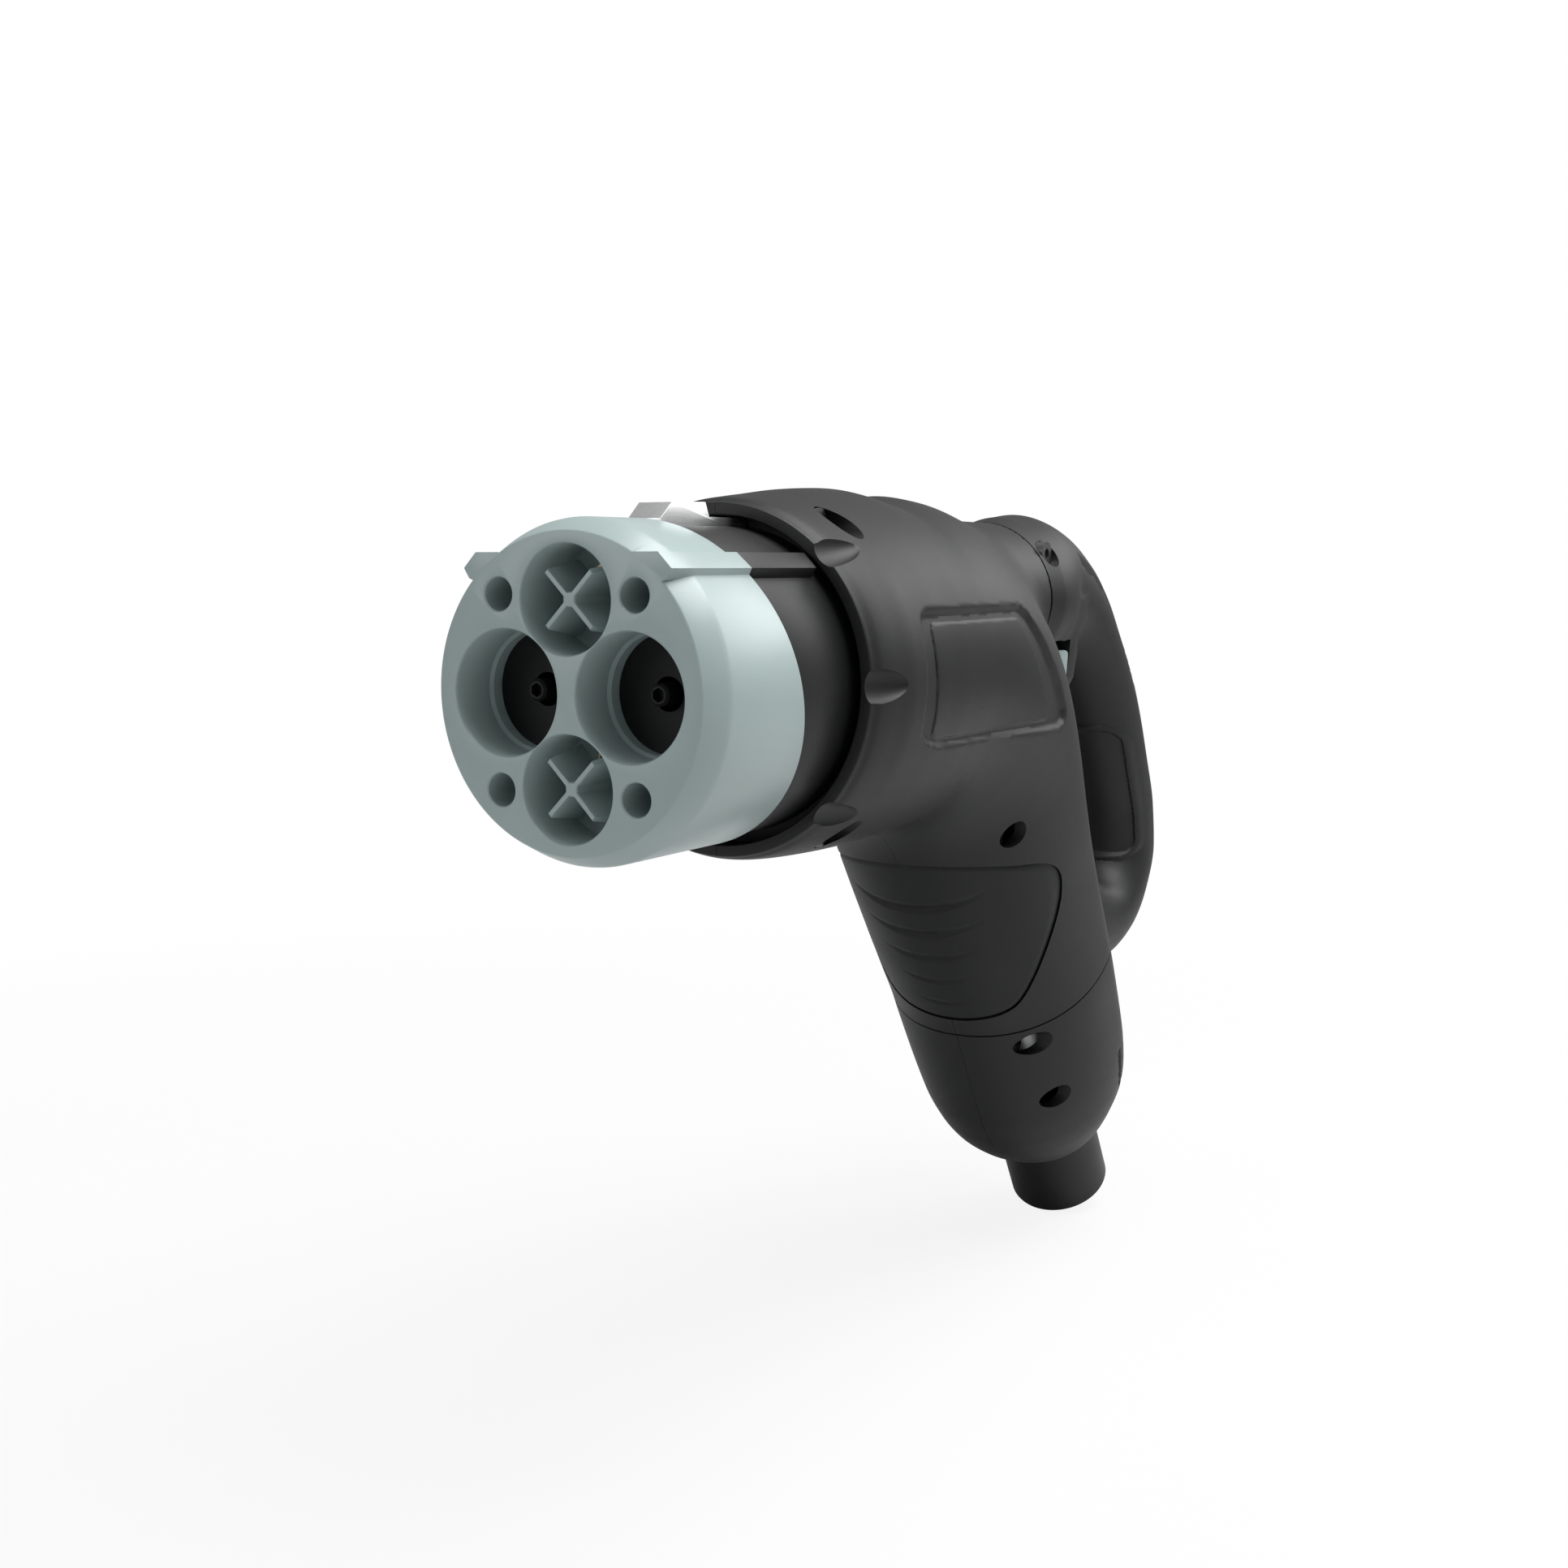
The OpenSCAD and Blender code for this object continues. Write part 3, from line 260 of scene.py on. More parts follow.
def settle(shape: Field, vertices: Array, step: float) -> Array:
    """Moves vertices onto the zero surface of a field, each by less than a cell."""
    p = vertices.copy()
    for _ in range(3):
        g = slope_of(shape, p)
        move = -shape(*p.T)[:, None] * g / np.maximum((g * g).sum(1, keepdims=True), 0.05)
        size = np.linalg.norm(move, axis=1, keepdims=True)
        p += move * np.minimum(1, 0.4 * step / np.maximum(size, 1e-9))
    return p


# Mesh building

def mesh_piece(name: str, vertices: Array | Sequence, faces: Iterable, smooth: float = 40) -> bpy.types.Object:
    """Makes an object from vertices in millimetres.

    Args:
        name: Name of the piece.
        vertices: Points in the plug's frame.
        faces: Lists of vertex numbers.
        smooth: Angle in degrees over which an edge stays sharp.

    Returns:
        The new object.
    """
    mesh = bpy.data.meshes.new(name)
    mesh.from_pydata((np.asarray(vertices, float) * MM).tolist(), [], [list(map(int, f)) for f in faces])
    piece = bpy.data.objects.new(name, mesh)
    bpy.context.scene.collection.objects.link(piece)
    shade(piece, smooth)
    return piece


def shade(piece: bpy.types.Object, angle: float) -> None:
    """Shades a piece smooth, but for edges sharper than an angle in degrees."""
    mesh = piece.data
    bm = bmesh.new()
    bm.from_mesh(mesh)
    for face in bm.faces:
        face.smooth = True
    limit = math.radians(angle)
    for edge in bm.edges:
        edge.smooth = len(edge.link_faces) == 2 and edge.calc_face_angle(0) < limit
    bm.to_mesh(mesh)
    bm.free()


def rings_piece(name: str, rings: Sequence[Array], smooth: float = 40, closed: bool = False) -> bpy.types.Object:
    """Makes a solid from rings of equal count, with its ends filled unless the rings close on themselves."""
    n = len(rings[0])
    vertices = np.concatenate(rings)
    last = len(rings) if closed else len(rings) - 1
    faces: list[list[int]] = []
    for i in range(last):
        j = (i + 1) % len(rings)
        for k in range(n):
            m = (k + 1) % n
            faces.append([i * n + k, i * n + m, j * n + m, j * n + k])
    if not closed:
        faces.append(list(range(n))[::-1])
        faces.append([(len(rings) - 1) * n + k for k in range(n)])
    piece = mesh_piece(name, vertices, faces, smooth)
    face_out(piece)
    return piece


def face_out(piece: bpy.types.Object) -> None:
    """Turns a closed mesh's faces outwards."""
    bm = bmesh.new()
    bm.from_mesh(piece.data)
    bmesh.ops.recalc_face_normals(bm, faces=bm.faces)
    bm.to_mesh(piece.data)
    bm.free()


def lathe(name: str, profile: Sequence[Sequence[float]], centre: Sequence[float] = (0, 0), segments: int = 128,
          axis: str = "y") -> bpy.types.Object:
    """Turns a closed profile of (place on the axis, radius) about an axis.

    Args:
        name: Name of the piece.
        profile: Points of the profile, with every radius above zero or at it.
        centre: Where the axis crosses the plane square to it.
        segments: Number of steps round the axis.
        axis: "y", or "x" for a profile that turns about the X direction.

    Returns:
        The solid.
    """
    pts = [(p, max(r, 1e-3)) for p, r in profile]
    turn = np.linspace(0, 2 * math.pi, segments, endpoint=False)
    rings = []
    for p, r in pts:
        u, v = centre[0] + r * np.cos(turn), centre[1] + r * np.sin(turn)
        along = np.full(segments, float(p))
        rings.append(np.column_stack([u, along, v] if axis == "y" else [along, u, v]))
    hollow = profile[0][1] > 0.01 and profile[-1][1] > 0.01 and len(profile) > 3
    return rings_piece(name, rings, 25, closed=hollow)


def prism(name: str, outline: Sequence[Sequence[float]], place: Callable[[float, float, float], Sequence[float]],
          low: float, high: float) -> bpy.types.Object:
    """Extrudes an outline between two depths, where place turns (u, v, depth) into a point."""
    rings = [np.array([place(u, v, d) for u, v in outline], float) for d in (low, high)]
    return rings_piece(name, rings, 30)


def block(name: str, low: Sequence[float], high: Sequence[float]) -> bpy.types.Object:
    """Makes a cutter from two corners."""
    outline = [(low[0], low[1]), (high[0], low[1]), (high[0], high[1]), (low[0], high[1])]
    return prism(name, outline, lambda u, v, d: (u, v, d), low[2], high[2])


def baked(piece: bpy.types.Object) -> None:
    """Writes a piece's modifiers into its mesh."""
    bpy.context.view_layer.update()
    graph = bpy.context.evaluated_depsgraph_get()
    result = bpy.data.meshes.new_from_object(piece.evaluated_get(graph))
    piece.modifiers.clear()
    old = piece.data
    piece.data = result
    result.name = piece.name
    bpy.data.meshes.remove(old)


def combine(piece: bpy.types.Object, tools: Sequence[bpy.types.Object], how: str = "DIFFERENCE",
            exact: bool = False) -> bpy.types.Object:
    """Cuts tools out of a piece, joins them to it or keeps what they share, and removes the tools.

    Args:
        piece: The piece that is changed.
        tools: Closed solids.
        how: DIFFERENCE, UNION or INTERSECT.
        exact: Whether to use the slower exact solver.

    Returns:
        The same piece.
    """
    for tool in tools:
        step = piece.modifiers.new("cut", "BOOLEAN")
        step.operation = how
        step.solver = "EXACT" if exact else "MANIFOLD"
        step.object = tool
    baked(piece)
    for tool in tools:
        remove(tool)
    return piece


def remove(piece: bpy.types.Object) -> None:
    """Deletes a helper piece and its mesh."""
    mesh = piece.data
    bpy.data.objects.remove(piece)
    bpy.data.meshes.remove(mesh)


def parted(piece: bpy.types.Object, point: Sequence[float], normal: Sequence[float]) -> bpy.types.Object:
    """Cuts away what lies on the normal's side of a plane, and closes the cut."""
    bm = bmesh.new()
    bm.from_mesh(piece.data)
    cut = bmesh.ops.bisect_plane(bm, geom=list(bm.verts) + list(bm.edges) + list(bm.faces), dist=1e-7,
                                 plane_co=Vector(point) * MM, plane_no=Vector(normal), clear_outer=True)
    rim = [g for g in cut["geom_cut"] if isinstance(g, bmesh.types.BMEdge)]
    bmesh.ops.holes_fill(bm, edges=rim, sides=0)
    bm.to_mesh(piece.data)
    bm.free()
    return piece


def copied(piece: bpy.types.Object, name: str) -> bpy.types.Object:
    """Returns a copy of a piece with its own mesh."""
    twin = bpy.data.objects.new(name, piece.data.copy())
    bpy.context.scene.collection.objects.link(twin)
    twin.data.name = name
    return twin


def softened(piece: bpy.types.Object, width: float, segments: int = 3, angle: float = 30) -> bpy.types.Object:
    """Rounds a piece's sharp edges and keeps the result in its mesh."""
    step = piece.modifiers.new("round", "BEVEL")
    step.width = width * MM
    step.segments = segments
    step.limit_method = "ANGLE"
    step.angle_limit = math.radians(angle)
    step.use_clamp_overlap = True
    baked(piece)
    shade(piece, 50)
    return piece


# Forms of the moulded body

@dataclass(frozen=True)
class BodyForm:
    """The swept body from the collar round the bend to the cable end."""

    rim_r: float = 39.0
    rim_y: float = 53.5
    belly: float = 4.4
    elbow_y: float = 154.2
    lean: float = 30.0
    bend_r: float = 64.0
    lower_l: float = 194.2
    grip_w: float = 65.4
    tail_w: float = 60.0
    split_s: float = 91.5
    no_flat: float = 60.0
    flat_tilt: float = 32.0

    @property
    def turn(self) -> float:
        """Angle of the bend in radians."""
        return math.radians(90 - self.lean)

    @property
    def bend_y(self) -> float:
        """Place where the barrel ends and the bend starts."""
        return self.elbow_y - self.bend_r * math.tan(self.turn / 2)

    @property
    def grip_s(self) -> float:
        """Height above the cable end where the bend ends."""
        return self.lower_l - self.bend_r * math.tan(self.turn / 2)

    @property
    def bend_end(self) -> float:
        """Length along the spine at the end of the bend."""
        return self.bend_y + self.bend_r * self.turn

    @property
    def end(self) -> tuple[float, float]:
        """The cable end in the middle plane."""
        a = math.radians(self.lean)
        return self.elbow_y + self.lower_l * math.sin(a), -self.lower_l * math.cos(a)

    def rows(self) -> list[list[float]]:
        """Returns rows of length on the spine, side, top and bottom radius, power and distance of the rear flats."""
        r, y, b = self.rim_r, self.rim_y, self.belly
        barrel = [(0, 0.1, 0.1, 0.1), (0.6, 0.1, 0.1, 0.1), (3, 0.25 * b, 0.25 * b, 0.22 * b),
                  (9, 0.5 * b, 0.42 * b, 0.4 * b), (16, 0.68 * b, 0.58 * b, 0.5 * b), (28, 0.68 * b, 0.86 * b, 0.6 * b),
                  (37, 0.6 * b, 0.98 * b, 0.62 * b), (43, 0.55 * b, 1.02 * b, 0.6 * b),
                  (50, 0.46 * b, 0.9 * b, 0.52 * b), (58, 0.36 * b, 0.6 * b, 0.42 * b)]
        bend = [(0, 1.3, 1.8, 1.5), (0.125, 1, 1.5, 1.4), (0.25, 0.6, 1.1, 1.3), (0.375, 0, 0.5, 1.25),
                (0.5, -0.8, -0.2, 1.2), (0.625, -1.8, -1.1, 1), (0.75, -2.9, -2.1, 0.8), (0.875, -4, -3, 0.5),
                (1, -4.9, -3.8, 0.2)]
        gw, tw, g, s = self.grip_w / 2, self.tail_w / 2, self.grip_s, self.split_s
        lower = [(g - 6, gw + 1, 34.9, 39, 36), (g - 20, gw + 0.4, 34.3, 38.5, 33.6),
                 (g - 36, gw - 0.3, 33.6, 37.6, 32.4), (g - 52, gw - 0.6, 33.8, 35.8, 31.7),
                 (s, gw - 0.7, 34.3, 34.2, 31.2), (s - 18, tw + 1.2, 33.4, 34.4, 30.4),
                 (s - 34, tw, 31.9, 34.1, 29.4), (s - 44, tw - 1.6, 30.2, 32.4, 28),
                 (s - 51, tw - 3.6, 28, 30, 26), (s - 57, tw - 6.4, 25, 26.6, 23.4),
                 (s - 62, tw - 9.4, 21.6, 22.8, 20.4), (s - 65.3, tw - 12, 18.4, 19, 19)]
        out = [[y + t, r + a, r + top, r + low, 2.0, self.no_flat] for t, a, top, low in barrel]
        out += [[self.bend_y + self.bend_r * self.turn * t, r + a, r + top, r + low, 2 + 0.2 * t, self.no_flat - 22 * t]
                for t, a, top, low in bend]
        out += [[self.bend_end + g - h, a, top, low, 2.2, flat] for h, a, top, low, flat in lower]
        return out

    def station(self, y: Array, z: Array) -> tuple[Array, Array]:
        """Returns the length along the spine and the offset outwards from it."""
        cy, cz = self.bend_y, -self.bend_r
        angle = np.arctan2(y - cy, z - cz)
        a = math.radians(self.lean)
        ey, ez = self.end
        up = -(y - ey) * math.sin(a) + (z - ez) * math.cos(a)
        away = (y - ey) * math.cos(a) + (z - ez) * math.sin(a)
        low = (angle > self.turn) | (angle < -2.6)
        bend = (angle >= 0) & ~low
        t = np.where(low, self.bend_end + self.grip_s - up, np.where(bend, cy + self.bend_r * angle, y))
        e = np.where(low, away, np.where(bend, np.hypot(y - cy, z - cz) - self.bend_r, z))
        return t, e

    def up_axis(self, y: Array, z: Array) -> Array:
        """Returns the height above the cable end along the lower axis."""
        a = math.radians(self.lean)
        ey, ez = self.end
        return -(y - ey) * math.sin(a) + (z - ez) * math.cos(a)

    def lower_point(self, x: float, away: float, up: float) -> tuple[float, float, float]:
        """Returns the point at a side distance, an offset to the rear and a height on the lower axis."""
        a = math.radians(self.lean)
        ey, ez = self.end
        return x, ey - up * math.sin(a) + away * math.cos(a), ez + up * math.cos(a) + away * math.sin(a)

    def ring(self, t: float, grow: float, count: int = 96) -> Array:
        """Returns one closed ring of the form, grown by a distance."""
        row = [np.interp(t, self.table[:, 0], self.table[:, i]) for i in range(1, 6)]
        x, e = oval(row[0] + grow, row[1] + grow, row[2] + grow, row[3], count)
        tilt = math.radians(self.flat_tilt)
        reach = np.abs(x) * math.cos(tilt) + e * math.sin(tilt)
        cut = np.where(reach > row[4] + grow, (row[4] + grow) / np.maximum(reach, 1e-6), 1)
        x, e = x * cut, e * cut
        if t <= self.bend_y:
            return np.column_stack([x, np.full(count, t), e])
        if t <= self.bend_end:
            a = (t - self.bend_y) / self.bend_r
            rad = self.bend_r + e
            return np.column_stack([x, self.bend_y + rad * math.sin(a), rad * math.cos(a) - self.bend_r])
        up = self.bend_end + self.grip_s - t
        return np.array([self.lower_point(px, pe, up) for px, pe in zip(x, e)])

    def __post_init__(self) -> None:
        """Works out the dense rows once."""
        object.__setattr__(self, "table", smooth_rows(self.rows()))

    def outside(self, x: Array, y: Array, z: Array) -> Array:
        """Returns the distance outside the swept body, with no neck."""
        t, e = self.station(y, z)
        col = [np.interp(t, self.table[:, 0], self.table[:, i]) for i in range(1, 6)]
        f = ring_distance(x, e, col[0], col[1], col[2], col[3])
        tilt = math.radians(self.flat_tilt)
        f = kept_in(f, np.abs(x) * math.cos(tilt) + e * math.sin(tilt) - col[4], 2.0)
        return kept_in(f, t - self.table[-1, 0], 3.0)


@dataclass(frozen=True)
class NeckForm:
    """The short arm behind the barrel that carries the handle."""

    body: BodyForm
    centre_z: float = 16.0
    depth: float = 21.0
    band_y: float = 190.0
    fillet: float = 9.0
    power: float = 1.9

    def rows(self) -> list[list[float]]:
        """Returns rows of distance behind the face, half width and top height."""
        b = self.body.bend_y
        return [[b, 24, 38], [b + 9, 25.4, 40.3], [b + 18, 25.4, 40.4], [b + 30, 24.4, 39.3], [b + 42, 23, 37.8],
                [b + 56, 21.6, 37.2], [self.band_y, 20.8, 37.1], [self.band_y + 20, 20.8, 37.1]]

    def __post_init__(self) -> None:
        """Works out the dense rows once."""
        object.__setattr__(self, "table", smooth_rows(self.rows()))

    def outside(self, x: Array, y: Array, z: Array) -> Array:
        """Returns the distance outside the neck."""
        a = np.interp(y, self.table[:, 0], self.table[:, 1])
        top = np.interp(y, self.table[:, 0], self.table[:, 2]) - self.centre_z
        f = ring_distance(x, z - self.centre_z, a, top, np.full_like(a, self.depth), self.power)
        return kept_in(f, self.body.bend_y + 4 - y, 8.0)

    def ring(self, y: float, grow: float, count: int = 96) -> Array:
        """Returns one ring of the neck, grown by a distance."""
        a, top = np.interp(y, self.table[:, 0], self.table[:, 1]), np.interp(y, self.table[:, 0], self.table[:, 2])
        x, rise = oval(a + grow, top - self.centre_z + grow, self.depth + grow, self.power, count)
        return np.column_stack([x, np.full(count, y), self.centre_z + rise])


@dataclass(frozen=True)
class HandleForm:
    """The loop handle: a hollow elbow, a limb, a bottom turn and a foot on the body."""

    body: BodyForm
    band_y: float = 190.0
    width: float = 33.0
    thick: float = 30.0
    table_step: float = 0.4
    table_y: tuple[float, float] = (186.0, 306.0)
    table_z: tuple[float, float] = (-112.0, 52.0)
    boss_y: float = 213.5
    boss_low: float = -14.3

    def rows(self) -> list[list[float]]:
        """Returns rows of place, tilt of the outward side, half width, outer and inner depth, and power."""
        b, w, t = self.band_y, self.width / 2, self.thick / 2
        return [[b, 16, 0, 21.0, 21.2, 21.1, 1.88], [b + 8, 16.5, 4, 21.3, 21.5, 22.0, 1.85],
                [b + 17, 17, 8, w + 4, 22, 22, 1.9], [b + 27, 17.5, 20, w + 2, t + 5.5, t + 4, 2.1],
                [b + 39, 15, 38, w + 1, t + 3.5, t + 2, 2.1], [b + 50, 9.5, 50, w + 0.3, t + 2, t + 1, 2.1],
                [254, -3, 56, w, t, t, 2.1], [266.5, -20.3, 60, w, t, t, 2.1], [275.5, -38.5, 66, w, t, t, 2.1],
                [281.5, -53, 76, w, t, t, 2.1], [283, -65, 92, w, t, t, 2.1], [277.5, -76.5, 118, w, t - 1, t - 1, 2.1],
                [268.5, -83.5, 145, w, t - 1, t - 1, 2.1], [257, -86.5, 168, w, t - 1, t + 1.5, 2.1],
                [244, -87, 180, w, t - 1, t + 7, 2.1], [226, -86, 180, w, t - 2, t + 10, 2.1]]

    def row_keys(self) -> Array:
        """Returns each row's length along the spine."""
        gap = np.linalg.norm(np.diff(np.array(self.rows())[:, :2], axis=0), axis=1)
        return np.concatenate([[0], np.cumsum(gap)])

    def dense(self) -> Array:
        """Returns dense rows, keyed by the length along the spine."""
        return smooth_rows(np.column_stack([self.row_keys(), np.array(self.rows(), float)]).tolist(), 0.8)

    def __post_init__(self) -> None:
        """Works out which station each point of the middle plane belongs to."""
        d = self.dense()
        object.__setattr__(self, "table", d)
        ys = np.arange(*self.table_y, self.table_step)
        zs = np.arange(*self.table_z, self.table_step)
        yy, zz = np.meshgrid(ys, zs, indexing="ij")
        tilt = np.radians(d[:, 3])
        key = np.full(yy.shape, 0.0)
        off = np.full(yy.shape, 400.0)
        score = np.full(yy.shape, 1e9)
        ahead = [(yy - r[1]) * math.cos(a) - (zz - r[2]) * math.sin(a) for r, a in zip(d, tilt)]
        away = [(yy - r[1]) * math.sin(a) + (zz - r[2]) * math.cos(a) for r, a in zip(d, tilt)]
        for k in range(len(d) - 1):
            hit = (ahead[k] >= 0) & (ahead[k + 1] < 0)
            u = np.where(hit, ahead[k] / np.where(hit, ahead[k] - ahead[k + 1], 1), 0)
            e = away[k] * (1 - u) + away[k + 1] * u
            s = np.where(e < 0, -e / d[k, 6], e / d[k, 5])
            better = hit & (s < score)
            key = np.where(better, d[k, 0] * (1 - u) + d[k + 1, 0] * u, key)
            off = np.where(better, e, off)
            score = np.where(better, s, score)
        for side, k in ((-1, 0), (1, len(d) - 1)):
            beyond = (side * ahead[k] > 0) & (score > 1e8) & (np.abs(away[k]) < 60)
            key = np.where(beyond, d[k, 0] + side * np.abs(ahead[k]), key)
            off = np.where(beyond, away[k], off)
        object.__setattr__(self, "keys", key)
        object.__setattr__(self, "offs", off)

    def station(self, y: Array, z: Array) -> tuple[Array, Array]:
        """Returns the length along the spine and the offset outwards, read from the table between its points."""
        u = np.clip((y - self.table_y[0]) / self.table_step, 0, self.keys.shape[0] - 1.001)
        v = np.clip((z - self.table_z[0]) / self.table_step, 0, self.keys.shape[1] - 1.001)
        i, j = u.astype(int), v.astype(int)
        fu, fv = u - i, v - j
        out = []
        for t in (self.keys, self.offs):
            a, b, c, d = t[i, j], t[i + 1, j], t[i, j + 1], t[i + 1, j + 1]
            near = np.ptp([a, b, c, d], axis=0) < 5
            mix = (a * (1 - fu) + b * fu) * (1 - fv) + (c * (1 - fu) + d * fu) * fv
            out.append(np.where(near, mix, a))
        return out[0], out[1]

    def ring(self, key: float, grow: float, count: int = 96) -> Array:
        """Returns one ring of the handle, grown by a distance."""
        row = [np.interp(key, self.table[:, 0], self.table[:, i]) for i in range(1, 8)]
        x, e = oval(row[3] + grow, row[4] + grow, row[5] + grow, row[6], count)
        a = math.radians(row[2])
        return np.column_stack([x, row[0] + e * math.sin(a), row[1] + e * math.cos(a)])

    def limb(self, x: Array, y: Array, z: Array) -> Array:
        """Returns the distance outside the swept loop alone."""
        t, e = self.station(y, z)
        col = [np.interp(t, self.table[:, 0], self.table[:, i]) for i in (4, 5, 6, 7)]
        f = ring_distance(x, e, *col)
        return np.maximum(f, np.maximum(-t - 3, t - self.table[-1, 0]))

    def boss(self, x: Array, y: Array, z: Array) -> Array:
        """Returns the distance outside the boss that holds the release button."""
        rows = np.array([[self.boss_low, 8.5, 11], [-11.5, 12, 14.3], [-7, 14.2, 16.3], [0, 15.6, 17.2],
                         [12, 16, 17.6]])
        b, a = np.interp(z, rows[:, 0], rows[:, 1]), np.interp(z, rows[:, 0], rows[:, 2])
        f = ring_distance(x, y - self.boss_y, a, b, b, 2.2)
        return np.maximum(kept_in(f, self.boss_low - z, 3.0), z - 14)

    def outside(self, x: Array, y: Array, z: Array) -> Array:
        """Returns the distance outside the handle, kept clear of the body."""
        f = joined(self.limb(x, y, z), self.boss(x, y, z), 4.0)
        return np.maximum(f, 0.1 - self.body.outside(x, y, z))


# Finishes

class Socket:
    """A shader socket that takes plain arithmetic; each operation adds a Math node."""

    def __init__(self, shader: "Shader", link: bpy.types.NodeSocket) -> None:
        """Keeps the socket and the shader that it belongs to."""
        self.shader = shader
        self.link = link

    def _math(self, operation: str, *values: Any) -> "Socket":
        """Returns the result of a Math node on the values."""
        return self.shader.node("ShaderNodeMath", {"operation": operation}, dict(enumerate(values)))

    def __add__(self, other: Any) -> "Socket":
        """Returns self + other."""
        return self._math("ADD", self, other)

    def __radd__(self, other: Any) -> "Socket":
        """Returns other + self."""
        return self._math("ADD", other, self)

    def __sub__(self, other: Any) -> "Socket":
        """Returns self - other."""
        return self._math("SUBTRACT", self, other)

    def __rsub__(self, other: Any) -> "Socket":
        """Returns other - self."""
        return self._math("SUBTRACT", other, self)

    def __mul__(self, other: Any) -> "Socket":
        """Returns self * other."""
        return self._math("MULTIPLY", self, other)

    def __rmul__(self, other: Any) -> "Socket":
        """Returns other * self."""
        return self._math("MULTIPLY", other, self)

    def clamped(self) -> "Socket":
        """Returns the value held between 0 and 1."""
        return self._math("MINIMUM", self._math("MAXIMUM", self, 0.0), 1.0)


class Shader:
    """Builds one material's node tree."""

    def __init__(self, name: str) -> None:
        """Starts a material with a Principled shader."""
        self.material = bpy.data.materials.new(name)
        self.material.use_nodes = True
        self.tree = self.material.node_tree
        self.principled = self.tree.nodes["Principled BSDF"]

    def node(self, kind: str, settings: dict[str, Any] | None = None, values: dict[Any, Any] | None = None,
             out: int | str = 0) -> Socket:
        """Adds a node.

        Args:
            kind: Type of the node.
            settings: Its settings.
            values: Values or links for its sockets, by number or name.
            out: Which output is returned.

        Returns:
            The wanted output.
        """
        made = self.tree.nodes.new(kind)
        for key, value in (settings or {}).items():
            setattr(made, key, value)
        for key, value in (values or {}).items():
            if isinstance(value, Socket):
                self.tree.links.new(value.link, made.inputs[key])
            else:
                made.inputs[key].default_value = value
        return Socket(self, made.outputs[out])

    def place(self) -> Socket:
        """Returns the object coordinates."""
        return self.node("ShaderNodeTexCoord", out="Object")

    def noise(self, size_mm: float, detail: float = 3, roughness: float = 0.5,
              stretch: Sequence[float] = (1, 1, 1)) -> Socket:
        """Returns noise with features of about a size in millimetres, optionally stretched."""
        mapped = self.node("ShaderNodeMapping", {}, {"Vector": self.place(), "Scale": tuple(stretch)})
        return self.node("ShaderNodeTexNoise", {}, {"Vector": mapped, "Scale": 1 / (size_mm * MM), "Detail": detail,
                                                    "Roughness": roughness}, out="Fac")

    def mixed(self, amount: Socket | float, a: Sequence[float], b: Sequence[float]) -> Socket:
        """Returns a colour between a and b."""
        return self.node("ShaderNodeMix", {"data_type": "RGBA"}, {0: amount, 6: (*a, 1), 7: (*b, 1)}, out=2)

    def spread(self, value: Socket, low: float, high: float, a: float, b: float) -> Socket:
        """Maps a value from low..high to a..b, held within it."""
        return self.node("ShaderNodeMapRange", {"clamp": True}, {0: value, 1: low, 2: high, 3: a, 4: b})

    def tinted(self, amount: Socket, colour: Sequence[float], low: float, high: float) -> Socket:
        """Returns a colour that varies between two shares of itself."""
        return self.mixed(amount, *(tuple(min(1.0, c * share) for c in colour) for share in (low, high)))

    def bump(self, height: Socket, depth_mm: float) -> Socket:
        """Returns a normal raised by a height."""
        return self.node("ShaderNodeBump", {}, {"Height": height, "Distance": depth_mm * MM, "Strength": 1.0})

    def set(self, **values: Any) -> bpy.types.Material:
        """Sets the Principled shader's sockets by name, with _ for a space, and returns the material."""
        for key, value in values.items():
            target = self.principled.inputs[key.replace("_", " ")]
            if isinstance(value, Socket):
                self.tree.links.new(value.link, target)
            else:
                target.default_value = value
        return self.material


@dataclass(frozen=True)
class MouldedPlastic:
    """Injection moulded plastic with a fine spark-eroded grain."""

    name: str
    colour: tuple[float, float, float]
    roughness: float = 0.5
    grain_mm: float = 0.35
    grain_depth: float = 0.02
    shine: float = 0.5
    tone: float = 0.12

    def material(self) -> bpy.types.Material:
        """Builds the material."""
        s = Shader(self.name)
        grain = s.noise(self.grain_mm, 2, 0.6)
        cloud = s.noise(26, 3, 0.55)
        speck = s.noise(self.grain_mm * 1.6, 1, 0.5)
        tint = s.tinted((cloud * 0.6 + speck * 0.4).clamped(), self.colour, 1 - self.tone, 1 + self.tone)
        rough = self.roughness + (cloud - 0.5) * 0.10 + (grain - 0.5) * 0.12
        normal = s.bump(grain, self.grain_depth)
        return s.set(Base_Color=tint, Roughness=rough, Normal=normal, Specular_IOR_Level=self.shine, IOR=1.5)


@dataclass(frozen=True)
class SmoothPlastic:
    """Smooth moulded plastic with faint flow marks and a soft sheen."""

    name: str
    colour: tuple[float, float, float]
    roughness: float = 0.34
    coat: float = 0.0
    tone: float = 0.05
    shine: float = 0.5

    def material(self) -> bpy.types.Material:
        """Builds the material."""
        s = Shader(self.name)
        flow = s.noise(18, 3, 0.5, (1, 0.35, 1))
        fine = s.noise(0.9, 2, 0.5)
        tint = s.tinted(flow, self.colour, 1 - self.tone, 1 + self.tone)
        rough = self.roughness + (flow - 0.5) * 0.07 + (fine - 0.5) * 0.05
        return s.set(Base_Color=tint, Roughness=rough, Normal=s.bump(fine, 0.004), Specular_IOR_Level=self.shine,
                     Coat_Weight=self.coat, Coat_Roughness=0.25)


